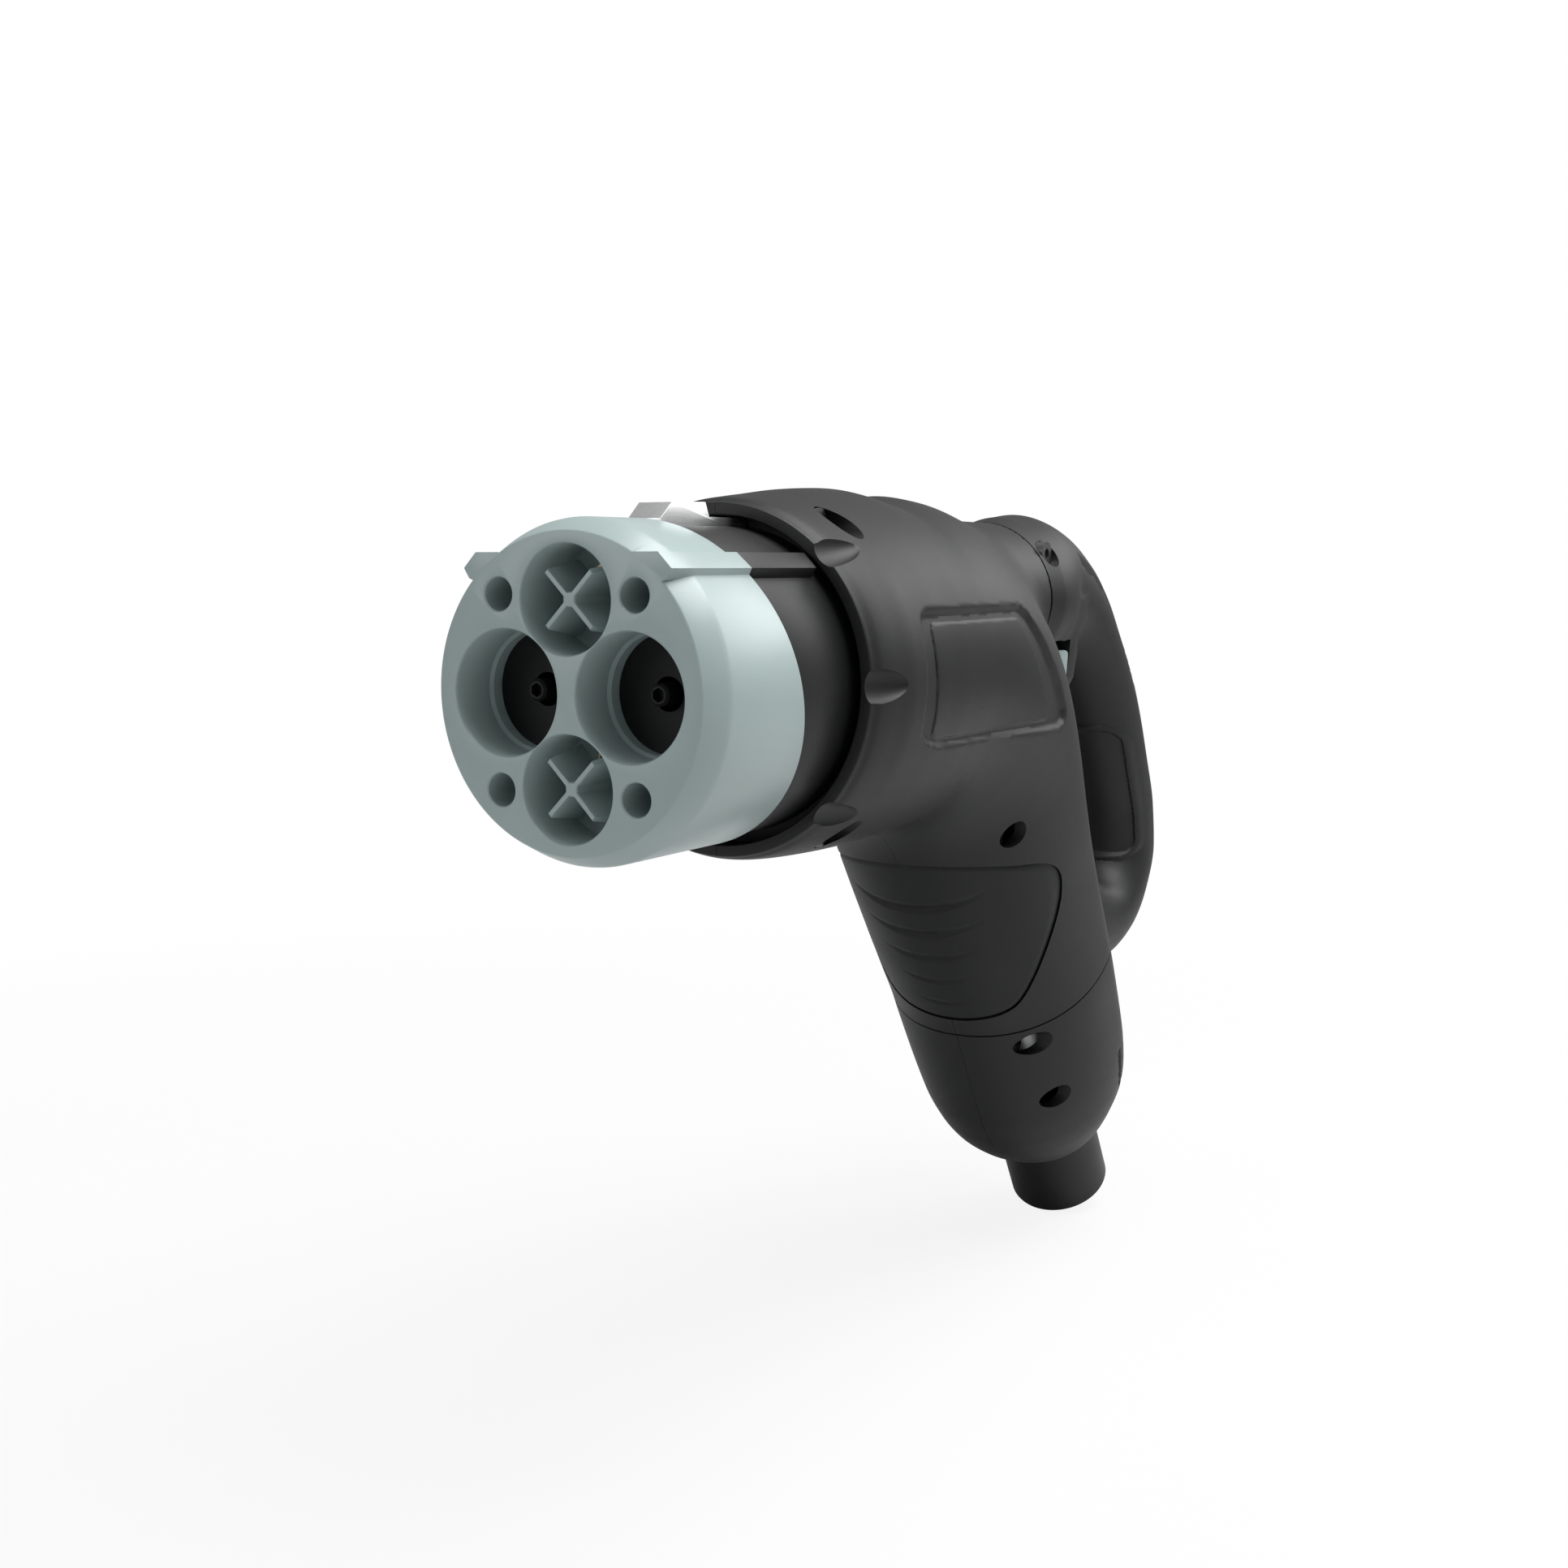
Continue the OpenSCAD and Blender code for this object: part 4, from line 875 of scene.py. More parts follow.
@dataclass(frozen=True)
class Rubber:
    """Soft rubber or cable jacket with a matt skin."""

    name: str
    colour: tuple[float, float, float]
    roughness: float = 0.62
    shine: float = 0.4

    def material(self) -> bpy.types.Material:
        """Builds the material."""
        s = Shader(self.name)
        skin = s.noise(0.6, 3, 0.6)
        cloud = s.noise(14, 2, 0.5)
        rough = self.roughness + (cloud - 0.5) * 0.12 + (skin - 0.5) * 0.08
        return s.set(Base_Color=s.tinted(cloud, self.colour, 0.85, 1.2), Roughness=rough,
                     Normal=s.bump(skin, 0.012), Specular_IOR_Level=self.shine)


@dataclass(frozen=True)
class Metal:
    """Stamped, turned or plated metal with fine marks along one direction."""

    name: str
    colour: tuple[float, float, float]
    roughness: float = 0.3
    marks: tuple[float, float, float] = (1.0, 0.08, 1.0)

    def material(self) -> bpy.types.Material:
        """Builds the material."""
        s = Shader(self.name)
        brushed = s.noise(0.5, 3, 0.6, self.marks)
        cloud = s.noise(6, 3, 0.5)
        tint = s.tinted((brushed * 0.5 + cloud * 0.5).clamped(), self.colour, 0.88, 1.06)
        rough = self.roughness + (brushed - 0.5) * 0.16 + (cloud - 0.5) * 0.10
        return s.set(Base_Color=tint, Metallic=1.0, Roughness=rough, Normal=s.bump(brushed, 0.006))


class Finish(Enum):
    """Every finish on the plug, under the record's slot names."""

    SHELL = MouldedPlastic("black_shell", (0.0100, 0.0103, 0.0108), 0.5, 0.35, 0.014, 0.3, 0.06)
    TEAL = SmoothPlastic("teal_plastic", (0.30, 0.375, 0.37), 0.36, 0.10)
    DARK = SmoothPlastic("dark_insulator", (0.005, 0.005, 0.0055), 0.48, shine=0.25)
    CONTACT = Metal("contact_metal", (0.72, 0.60, 0.38), 0.28)
    BRIGHT = Metal("bright_steel", (0.93, 0.935, 0.94), 0.34)
    PLATED = Metal("plated_steel", (0.58, 0.59, 0.60), 0.34, (1, 1, 1))
    BLACKENED = Metal("blackened_steel", (0.16, 0.16, 0.165), 0.4, (1, 1, 1))
    SOLENOID = SmoothPlastic("solenoid_case", (0.15, 0.12, 0.06), 0.4)
    LABEL = SmoothPlastic("label_plastic", (0.012, 0.0123, 0.0128), 0.42, shine=0.2)
    GRIP = Rubber("grip_rubber", (0.0085, 0.009, 0.0095), 0.5, shine=0.25)
    CABLE = Rubber("cable_rubber", (0.0080, 0.0082, 0.0088), 0.5, shine=0.25)
    CORE = Rubber("core_insulation", (0.55, 0.16, 0.04), 0.5)
    SIGNAL = Rubber("signal_insulation", (0.08, 0.085, 0.09), 0.5)


class Wardrobe:
    """Makes each finish once and puts it on pieces and nodes."""

    SLOTS = {"signal_insulation": "core_insulation", "blackened_steel": "plated_steel"}

    def __init__(self) -> None:
        """Starts with no material made."""
        self.made: dict[Finish, bpy.types.Material] = {}

    def get(self, finish: Finish) -> bpy.types.Material:
        """Returns a finish's material, made once."""
        if finish not in self.made:
            self.made[finish] = finish.value.material()
        return self.made[finish]

    def wear(self, piece: bpy.types.Object, finish: Finish) -> bpy.types.Object:
        """Puts a finish on a piece."""
        piece.data.materials.clear()
        piece.data.materials.append(self.get(finish))
        return piece

    def fit(self, piece: bpy.types.Object, finish: Finish, body: str, *nodes: str) -> bpy.types.Object:
        """Dresses a piece, sets it on its body and lets it stand for its nodes.

        Args:
            piece: The visible piece.
            finish: Its finish.
            body: Name of the body it rides on.
            nodes: CAD nodes that it replaces.

        Returns:
            The piece.
        """
        self.wear(piece, finish)
        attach(piece, body)
        if nodes:
            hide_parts(*nodes)
        self.SLOTS.get(finish.value.name, finish.value.name)
        LOG.info("%s: %d faces", piece.name, len(piece.data.polygons))
        return piece


# Sub-assemblies

LABEL_OUTLINE = [(73.5, 11), (74.5, 14.5), (78, 16.2), (135, 16.2), (140, 14.2), (150, 5.5), (160, -4.5), (166, -12),
                 (165, -15.5), (160, -17.2), (86, -16.2), (78, -14.5), (74.5, -12), (73.5, -8)]
PLATE_OUTLINE = [(80.5, 11), (81.5, 12.6), (133, 12.6), (134.6, 11.8), (152.6, -11), (153, -13), (151, -14.2),
                 (84, -13.4), (82, -12), (80.5, 5)]
PAD_HALF = [(0, 156.5), (12, 155.5), (22, 152), (29, 146), (31.5, 141), (32, 134), (30.5, 124), (26, 112),
            (20.5, 102.5), (16, 99.5), (8, 98), (0, 97.5)]
PAD_OUTLINE = rounded_outline(PAD_HALF + [(-x, s) for x, s in PAD_HALF[-2:0:-1]], 2)


def side_bore(name: str, radius: float, x0: float, x1: float, y: float, z: float) -> bpy.types.Object:
    """Makes a round cutter along X."""
    return lathe(name, [(x0, radius), (x1, radius)], (y, z), 48, axis="x")


@dataclass
class Shells:
    """The housing halves, the tail halves and what is let into them."""

    wardrobe: Wardrobe
    body: BodyForm
    neck: NeckForm
    cell: float = 0.8
    wall: float = 3.0
    lap: float = 1.8
    part_gap: float = 0.05
    split_gap: float = 0.5
    label_depth: float = 1.4
    pad_depth: float = 2.0
    bore_r: float = 36.3
    bore_y: float = 60.0
    notch_angles: tuple[float, ...] = (-45, 0, 45, 135, 180, 225)
    pocket_r: float = 3.6
    label_edge: float = 2.4
    groove_r: float = 3.4
    groove_away: float = 5.0

    def skin(self, label: bool) -> Field:
        """Returns the field of the closed outer skin, with or without the label recess."""

        def outside(x: Array, y: Array, z: Array) -> Array:
            """Returns the distance outside the skin."""
            swept = self.body.outside(x, y, z)
            f = joined(swept, self.neck.outside(x, y, z), self.neck.fillet)
            f = np.minimum(swept, kept_in(f, y - self.neck.band_y + self.part_gap, 0.6))
            f = np.maximum(f, self.body.rim_y - 2 - y)
            if label:
                edge = outline_distance(y, z, LABEL_OUTLINE)
                f = f + self.label_depth * ramp(-edge, 0.0, self.label_edge) * (x > 20)
                f = f + self.groove(x, y, z)
            return f

        return outside

    def groove(self, x: Array, y: Array, z: Array) -> Array:
        """Returns the depth of the U-shaped groove on the tail's side."""
        up = self.body.up_axis(y, z)
        away = self.body.station(y, z)[1]
        across = np.hypot(away - self.groove_away, np.maximum(np.maximum(46 - up, up - 62), 0))
        ridge = np.abs(across - self.groove_r)
        return ramp(-ridge, -1.2, -0.2) * (x > 15) * (up > 38) * (up < 58)

    def half(self, name: str, side: int) -> bpy.types.Object:
        """Builds one closed half of the outer skin, from collar to tail."""
        outside = self.skin(side > 0)
        return half_piece(name, lambda x, y, z: outside(side * x, y, z), (-1.5, 50, -160), (46, 266, 46), self.cell,
                          side, self.part_gap)

    def collar_tools(self) -> list[bpy.types.Object]:
        """Makes the cutters for the collar's front face, bore and notches."""
        y, r, b = self.body.rim_y, self.body.rim_r, self.bore_r
        front = lathe("front_cut", [(y, 0), (y, r - 0.5), (y + 0.12, r - 0.1), (y + 0.6, r + 0.22), (y + 0.6, r + 9),
                                    (y - 6, r + 9), (y - 6, 0)], segments=256)
        bore = lathe("bore_cut", [(y - 8, 0), (y - 8, b + 0.5), (y - 0.2, b + 0.5), (y + 0.3, b), (self.bore_y, b),
                                  (self.bore_y, 30.55), (63.1, 30.55), (63.1, 33.6), (66.9, 33.6), (66.9, 30.55),
                                  (72.9, 30.55), (72.9, 0)], segments=256)
        tools = [front, bore, block("slot", (-4.65, 59, 20), (4.65, 66.9, 36.1)),
                 block("slot", (-4.65, 63.1, 20), (4.65, 72.9, 31.9))]
        return tools + [self.notch(angle) for angle in self.notch_angles]

    def notch(self, angle: float) -> bpy.types.Object:
        """Makes a bullet-shaped cutter that scoops the rim."""
        a = math.radians(angle)
        rings = []
        for t in np.linspace(0, 1, 20):
            y = self.body.rim_y - 3 + 15.5 * t
            size = max(math.sqrt(max(1 - max(0, (t - 0.15) / 0.85) ** 1.7, 0)), 0.01)
            turn = np.linspace(0, 2 * math.pi, 36, endpoint=False)
            across, rise = 4.3 * size * np.cos(turn), 3.4 * size * np.sin(turn) + self.body.rim_r + 1.3 + 2.4 * t
            rings.append(np.column_stack([rise * math.cos(a) - across * math.sin(a), np.full(36, y),
                                          rise * math.sin(a) + across * math.cos(a)]))
        return rings_piece("notch_cut", rings)

    def spigot(self, side: int) -> bpy.types.Object:
        """Makes half of the collar that laps into the handle."""
        piece = rings_piece("spigot", [self.neck.ring(y, -self.lap, 64) for y in (182, 190, 200)])
        parted(piece, (side * self.part_gap, 0, 0), (-side, 0, 0))
        return combine(piece, [block("free", (-40, self.neck.band_y - 0.1, -30), (40, 230, 8.8))])

    def pad_seat(self) -> bpy.types.Object:
        """Makes the cutter for the recess that takes the grip pad."""
        b = self.body
        seat = prism("pad_seat", PAD_OUTLINE, lambda u, v, d: b.lower_point(u, -d, v), 6, 60)
        core = rings_piece("pad_core", [b.ring(t, -self.pad_depth, 128)
                                        for t in np.linspace(b.bend_y, b.bend_end + 78, 46)])
        return combine(seat, [core])

    def cavity_tools(self) -> list[bpy.types.Object]:
        """Makes the cutters for the hollow inside."""
        b = self.body
        stations = [72.2, 82, 92, 104, 112, b.bend_y, *np.linspace(b.bend_y, b.bend_end, 12)[1:-1],
                    *np.linspace(b.bend_end + 6, b.bend_end + 56, 7)]
        main = rings_piece("cavity", [b.ring(t, -self.wall, 64) for t in stations])
        arm = rings_piece("arm", [self.neck.ring(y, -self.wall - self.lap, 64) for y in (140, 150, 165, 180, 203)])
        return [main, arm]

    def build(self) -> None:
        """Builds both halves of the housing and the tail."""
        split = self.body.lower_point(0, 0, self.body.split_s)
        a = math.radians(self.body.lean)
        down = (0, math.sin(a), -math.cos(a))
        for side, hand in ((1, "right"), (-1, "left")):
            whole = self.half(f"skin_{hand}", side)
            tail = copied(whole, f"tail_shell_{hand}")
            top, low = ([p + k * d * self.split_gap / 2 for p, d in zip(split, down)] for k in (-1, 1))
            parted(whole, top, down)
            combine(whole, [self.spigot(side)], "UNION")
            parted(tail, low, tuple(-v for v in down))
            tools = self.collar_tools() + self.cavity_tools() + [self.pad_seat()]
            if side > 0:
                tools += [side_bore("pocket", self.pocket_r, x, 60, y, z)
                          for x, y, z in ((15, 69, 34.6), (15, 69, -34.3), (21, 151.25, -44))]
            combine(whole, tools)
            whole.name = f"housing_shell_{hand}"
            self.finish_shell(whole, f"housing_{hand}")
            tail_tools = [self.lower_tube("cable_way", [(16, 17), (34.5, 17)])]
            rings = [self.body.ring(self.body.bend_end + self.body.grip_s - s, -self.wall, 64)
                     for s in (93, 84, 76, 66, 56, 46, 40, 36)]
            tail_tools.append(rings_piece("tail_cavity", rings))
            if side > 0:
                for away, up in ((-27.6, 85.8), (-25.6, 63.7)):
                    x, y, z = self.body.lower_point(0, away, up)
                    tail_tools.append(side_bore("pocket", self.pocket_r, 12, 60, y, z))
            combine(tail, tail_tools)
            self.finish_shell(tail, f"tail_{hand}")

    def lower_tube(self, name: str, profile: Sequence[Sequence[float]], segments: int = 96) -> bpy.types.Object:
        """Turns a profile of (height, radius) about the lower axis."""
        rings = []
        turn = np.linspace(0, 2 * math.pi, segments, endpoint=False)
        for up, r in profile:
            rings.append(np.array([self.body.lower_point(max(r, 1e-3) * c, max(r, 1e-3) * s, up)
                                   for c, s in zip(np.cos(turn), np.sin(turn))]))
        hollow = profile[0][1] > 0.01 and profile[-1][1] > 0.01 and len(profile) > 3
        return rings_piece(name, rings, 30, closed=hollow)

    def finish_shell(self, piece: bpy.types.Object, node: str) -> None:
        """Shades a shell and puts it on the housing."""
        shade(piece, 32)
        self.wardrobe.fit(piece, Finish.SHELL, "body", node)


@dataclass
class GripPad:
    """The ribbed pad let into the front of the grip."""

    wardrobe: Wardrobe
    body: BodyForm
    inset: float = 0.45
    depth: float = 1.95
    cell: float = 0.55
    grooves: int = 5

    def crescents(self, x: Array, up: Array) -> Array:
        """Returns the share of the full groove depth at points of the front."""
        depth = np.zeros(x.shape)
        for i in range(self.grooves):
            w, h, s = 25 - 3.6 * i, 7 - 0.7 * i, 146 - 9.5 * i
            r = (w * w + h * h) / (2 * h)
            t = h * 0.45
            r2 = (w * w + t * t) / (2 * t)
            low = r - np.hypot(x, up - s - r + h)
            high = np.hypot(x, up - s - r2 + t) - r2
            depth = np.maximum(depth, ramp(low, 0, 1.6) * ramp(high, 0, 3.2) * (np.abs(x) < w))
        return depth

    def outside(self, x: Array, y: Array, z: Array) -> Array:
        """Returns the field of the pad."""
        f = self.body.outside(x, y, z)
        up = self.body.up_axis(y, z)
        edge = outline_distance(x, up, PAD_OUTLINE) + self.inset
        away = self.body.station(y, z)[1]
        top = f + 0.02 + 1.1 * self.crescents(x, up) + 0.6 * ramp(edge, -1.3, 0.2) ** 2
        return np.maximum(np.maximum(np.maximum(top, edge - 1.5), -(f + self.depth)), away + 5)

    def build(self) -> None:
        """Builds the pad."""
        vertices, quads = net_surface(self.outside, (-34, 120, -118), (34, 185, -32), self.cell)
        piece = mesh_piece("grip_pad_ribbed", vertices, quads, 45)
        centre = np.array([0, 127])
        outline = [p - (p - centre) / np.linalg.norm(p - centre) * self.inset for p in np.array(PAD_OUTLINE)]
        combine(piece, [prism("trim", outline, lambda u, v, d: self.body.lower_point(u, -d, v), 5, 60)], "INTERSECT")
        shade(piece, 45)
        self.wardrobe.fit(piece, Finish.GRIP, "body", "grip_pad")


@dataclass
class LabelPlate:
    """The bare plate in the side recess."""

    wardrobe: Wardrobe
    body: BodyForm
    neck: NeckForm
    cell: float = 0.6
    thick: float = 3.2
    floor: float = 1.35
    sunk: float = 1.15

    def skin(self, x: Array, y: Array, z: Array) -> Array:
        """Returns the distance outside the body's skin."""
        return joined(self.body.outside(x, y, z), self.neck.outside(x, y, z), self.neck.fillet)

    def outside(self, x: Array, y: Array, z: Array) -> Array:
        """Returns the field of the plate."""
        f = self.skin(x, y, z)
        edge = outline_distance(y, z, PLATE_OUTLINE)
        top = kept_in(f + self.sunk, edge, 0.3)
        return np.maximum(np.maximum(top, -(f + self.thick)), 20 - x)

    def build(self) -> None:
        """Builds the plate."""
        vertices, quads = net_surface(self.outside, (20, 74, -20), (46, 172, 20), self.cell)
        deep = self.skin(*vertices.T) + self.floor
        slope = slope_of(self.skin, vertices)
        lift = np.where(deep < 0, -deep, 0)[:, None] * slope / np.maximum((slope * slope).sum(1, keepdims=True), 0.05)
        vertices = vertices + lift
        piece = mesh_piece("label_plate_bare", vertices, quads, 45)
        self.wardrobe.fit(piece, Finish.LABEL, "body", "label_plate")


@dataclass
class Nose:
    """The insulator that enters the vehicle inlet."""

    wardrobe: Wardrobe
    radius: float = 35.0
    tip_l: float = 6.3
    tip_depth: float = 2.7
    edge_y: float = 32.3
    slant: float = 14.0
    key_w: float = 53.6
    key_h: float = 28.0
    round: float = 0.45
    power_x: float = 15.2
    signal_z: float = 18.75
    contact_ring: float = 5.6
    well_x: float = 16.7
    well_z: float = 19.7

    def key_profile(self, shrink: float) -> list[tuple[float, float]]:
        """Returns the outline of a key ridge."""
        c, h = self.key_w / 2 - shrink, self.key_h
        return [(c - 9, h - 6), (c - 9, h), (c - 3.1, h), (c, h - 3.15), (c - 1.3, h - 5.2), (c - 4.5, h - 6.5)]

    def key(self, side: int, y0: float, y1: float, shrink: float = 0.0, tip: bool = True) -> bpy.types.Object:
        """Makes a key ridge with its bevelled tip."""
        rings = []
        rows = [(y0, 1.4), (self.tip_l, 0.0), (y1, 0.0)] if tip else [(y0, shrink), (y1, shrink)]
        for y, less in rows:
            rings.append(np.array([(side * x, y, z) for x, z in self.key_profile(less)]))
        return rings_piece("key", rings, 20)

    def rear_cut(self, gap: float = 0.0) -> bpy.types.Object:
        """Makes a block that fills everything behind the slanted rear edge."""
        a = math.radians(self.slant)

        def place(u: float, v: float, d: float) -> tuple[float, float, float]:
            """Returns the point at a place and depth of the slanted block."""
            return u, self.edge_y + gap + d * math.cos(a) - v * math.sin(a), d * math.sin(a) + v * math.cos(a)

        return prism("rear", [(-60, -70), (60, -70), (60, 70), (-60, 70)], place, 0, 140)

    def cross(self, sz: int) -> bpy.types.Object:
        """Makes the cross wall of a signal socket."""
        z0 = sz * self.signal_z
        parts = []
        for a in (45, 135):
            c, s = math.cos(math.radians(a)), math.sin(math.radians(a))
            rings = []
            for y, reach in ((1.3, 7.7), (1.55, 7.9), (15, 10.6)):
                half = 0.42 if y < 1.4 else 0.575
                rings.append(np.array([(c * u - s * v, y, z0 + s * u + c * v)
                                       for u, v in ((-reach, -half), (reach, -half), (reach, half), (-reach, half))]))
            parts.append(rings_piece("blade", rings, 20))
        core = rings_piece("core", [np.array([(u, y, z0 + v) for u, v in ((-k, -k), (k, -k), (k, k), (-k, k))])
                                    for y, k in ((1.3, 1.2), (1.6, 1.45), (15, 1.6))], 20)
        return combine(parts[0], [parts[1], core], "UNION")

    def build(self) -> None:
        """Builds the insulator."""
        r, t, d = self.radius, self.tip_l, self.tip_depth
        e = 0.35
        profile = [(0, 0), (0, r - d - e), (0.12, r - d - 0.08), (e, r - d + 0.1)]
        profile += [(t - 1.2, r - 0.46), (t - 0.3, r - 0.12), (t + 0.5, r), (46, r), (46, 0)]
        main = lathe("nose_insulator_moulded", profile, segments=256)
        combine(main, [self.key(1, 0.02, 46), self.key(-1, 0.02, 46)], "UNION")
        combine(main, [self.rear_cut()])
        spigot = lathe("spigot", [(20, 0), (20, 29.85), (53.95, 29.85), (53.95, 0)], segments=128)
        combine(main, [spigot], "UNION")
        tools = []
        for side in (-1, 1):
            profile = [(-1, 0), (-1, 13.35), (0.0, 13.1), (0.4, 12.8), (10.3, 12.8), (11, 12.2), (55, 12.2), (55, 0)]
            tools.append(lathe("lead", profile, (side * self.power_x, 0), 128))
        combine(main, tools)
        for sz in (-1, 1):
            well = lathe("signal_well", [(-1, 0), (-1, 11.5), (0, 11.25), (0.35, 11), (13.6, 11), (14, 10.6), (14, 0)],
                         (0, sz * self.signal_z), 128)
            combine(well, [self.cross(sz)])
            ring, turns = self.contact_ring, [math.radians(a) for a in (0, 90, 180, 270)]
            holes = [lathe("bore", [(12, 0), (12, 1.55), (55, 1.55), (55, 0)],
                           (ring * math.cos(a), sz * self.signal_z + ring * math.sin(a)), 32) for a in turns]
            combine(main, [well] + holes)
        profile = [(-1, 0), (-1, 3.95), (0, 3.7), (0.3, 3.45), (20, 3.45), (20, 2.1), (55, 2.1), (55, 0)]
        tools = [lathe("well", profile, (sx * self.well_x, sz * self.well_z), 64) for sx in (-1, 1) for sz in (-1, 1)]
        tools.append(block("slot", (-4.65, 26, 26.5), (4.65, 56, 40)))
        combine(main, tools)
        softened(main, self.round, 3, 38)
        self.wardrobe.fit(main, Finish.TEAL, "body", "nose_insulator", "nose_block")


@dataclass
class Sleeve:
    """The black neck sleeve behind the nose."""

    wardrobe: Wardrobe
    nose: Nose
    radius: float = 34.0

    def build(self) -> None:
        """Builds the sleeve."""
        main = lathe("neck_sleeve_moulded", [(20, 0), (20, self.radius), (59.7, self.radius), (59.9, self.radius - 0.2),
                                             (59.9, 30.4), (63.15, 30.4), (63.15, 33.5), (66.85, 33.5), (66.85, 30.4),
                                             (78, 30.4), (78, 27.5), (66, 27.5), (66, 0)], segments=256)
        keys = [self.nose.key(side, 20, 51.9, 0.2, False) for side in (-1, 1)]
        combine(main, keys, "UNION")
        combine(main, [self.nose.rear_cut(0.05)], "INTERSECT")
        tools = [lathe("spigot_bore", [(10, 0), (10, 29.9), (59, 29.9), (59, 0)], segments=128)]
        for side in (-1, 1):
            tools.append(lathe("stem", [(50, 0), (50, 9.05), (70, 9.05), (70, 0)], (side * self.nose.power_x, 0), 96))
        combine(main, tools)
        tools = [lathe("signal_way", [(50, 0), (50, 8.2), (70, 8.2), (70, 0)], (0, sz * self.nose.signal_z), 64)
                 for sz in (-1, 1)]
        tools += [block("slot", (-4.65, 26, 26.5), (4.65, 59, 40)), block("slot", (-4.65, 58.9, 23), (4.65, 79, 40))]
        combine(main, tools)
        softened(main, 0.3, 2, 45)
        self.wardrobe.fit(main, Finish.SHELL, "body", "neck_sleeve")


@dataclass
class Handle:
    """The loop handle's shells, the unlock lever in its rear and the release button in its boss."""

    wardrobe: Wardrobe
    form: HandleForm
    neck: NeckForm
    cell: float = 0.6
    wall: float = 3.0
    lever_w: float = 24.0
    free: float = 0.5
    part_gap: float = 0.05
    inlay_x: float = 15.0
    inlay_low: float = -67.0
    inlay_high: float = -25.0
    strip_share: float = 0.88
    band_length: float = 6.5
    band_rise: float = 1.0
    bow_power: float = 2.1
    tip_row: tuple[float, ...] = (282.2, -75.0, 100.0, 16.5, 15.0, 15.0)
    button_low: float = -12.6
    button_top: float = 1.2
    button_front: float = 204.0
    button_rear: float = 211.0
    button_half: float = 17.4
    button_travel: float = 2.5
    pocket_r: float = 3.6

    def skin(self, x: Array, y: Array, z: Array) -> Array:
        """Returns the field of the outer skin with its inlay border and the rear strip's seam."""
        f = self.form.outside(x, y, z)
        t, e = self.form.station(y, z)
        inner = e < 0
        band = np.clip((y - self.form.band_y) / self.band_length, 0, 1) * (1 - ramp(t, 14, 30))
        f = f - self.band_rise * band * ramp(z, -8, 4)
        outline = rounded_box(self.inlay_x, self.inlay_low, self.inlay_high, 5.0)
        edge = outline_distance(x, z, outline)
        limb = inner & (y > 236) & (t > 60)
        f = f - 0.6 * ramp(-np.abs(edge), -1.1, -0.35) * limb
        f = f + 0.25 * ramp(-edge, 0.6, 1.6) * limb
        top = (z > -11.5) & (y > 219.5) & ~inner
        seam = np.abs(np.abs(x) - self.strip_share * np.interp(t, self.form.table[:, 0], self.form.table[:, 4]))
        return f + 1.3 * ramp(-seam, -0.95, -0.4) * top

    def bow(self, row: Sequence[float], half: float, grow: float, low: float, count: int) -> Array:
        """Returns the ring of the lever or its channel at a row: an arch over a flat base.

        Args:
            row: Place, tilt, half width, outer and inner depth.
            half: Half width of the ring.
            grow: How far the arch stands outside the handle's surface.
            low: Depth of the base.
            count: Number of steps over the arch.

        Returns:
            The ring's points.
        """
        x = half * (1 - 2 * np.arange(count + 1) / count)
        rise = (row[4] + grow) * (1 - (np.abs(x) / (row[3] + grow)) ** self.bow_power) ** (1 / self.bow_power)
        x, rise = np.concatenate([x, [-half, half]]), np.concatenate([rise, [low, low]])
        a = math.radians(row[2])
        return np.column_stack([x, row[0] + rise * math.sin(a), row[1] + rise * math.cos(a)])

    def limb_rows(self) -> list[list[float]]:
        """Returns dense rows of the rear strip that the lever fills."""
        keys, table = self.form.row_keys(), self.form.table
        upper = [[np.interp(k, table[:, 0], table[:, i]) for i in range(1, 7)]
                 for k in np.linspace(keys[7], keys[10], 26)]
        share = np.linspace(0, 1, 6)[1:, None]
        return upper + (np.array(upper[-1]) * (1 - share) + np.array(self.tip_row) * share).tolist()

    def channel(self) -> bpy.types.Object:
        """Makes the cutter for the lever's channel."""
        rows = [[265.7, -19.2, 60, 16.5, 15, 15]] + self.limb_rows() + [[281.6, -79.2, 104, 16.5, 15, 15]]
        return rings_piece("channel", [self.bow(r, self.lever_w / 2 + self.free, 2, -4, 16) for r in rows])

    def lever(self) -> None:
        """Builds the unlock lever."""
        rows = self.limb_rows()
        outer = rings_piece("unlock_lever_bowed", [self.bow(r, self.lever_w / 2, 0, 3.5, 24) for r in rows], 30)
        inner_rows = [[262.5, -13.5, 59, 16.5, 15, 15], *rows[2:-1], [281, -79, 106, 16.5, 15, 15]]
        inner = rings_piece("lever_hollow", [self.bow(r, self.lever_w / 2 - 2.2, -3, -3, 16) for r in inner_rows])
        combine(outer, [inner])
        softened(outer, 0.7, 3, 40)
        self.wardrobe.fit(outer, Finish.SHELL, "lever", "unlock_lever")

    def button_block(self, name: str, gap: float, travel: float) -> bpy.types.Object:
        """Makes the button's slanted block, grown by a gap and raised by its travel."""
        low, top, a = self.button_low, self.button_top, math.radians(self.form.body.lean)
        outline = [(self.button_front - gap / math.cos(a) - (z - low) * math.tan(a), z)
                   for z in (low - gap, top + gap + travel)]
        outline += [(self.button_rear + gap, top + gap + travel), (self.button_rear + gap, low - gap)]
        half = self.button_half + gap
        return prism(name, outline, lambda u, v, d: (d, u, v), -half, half)

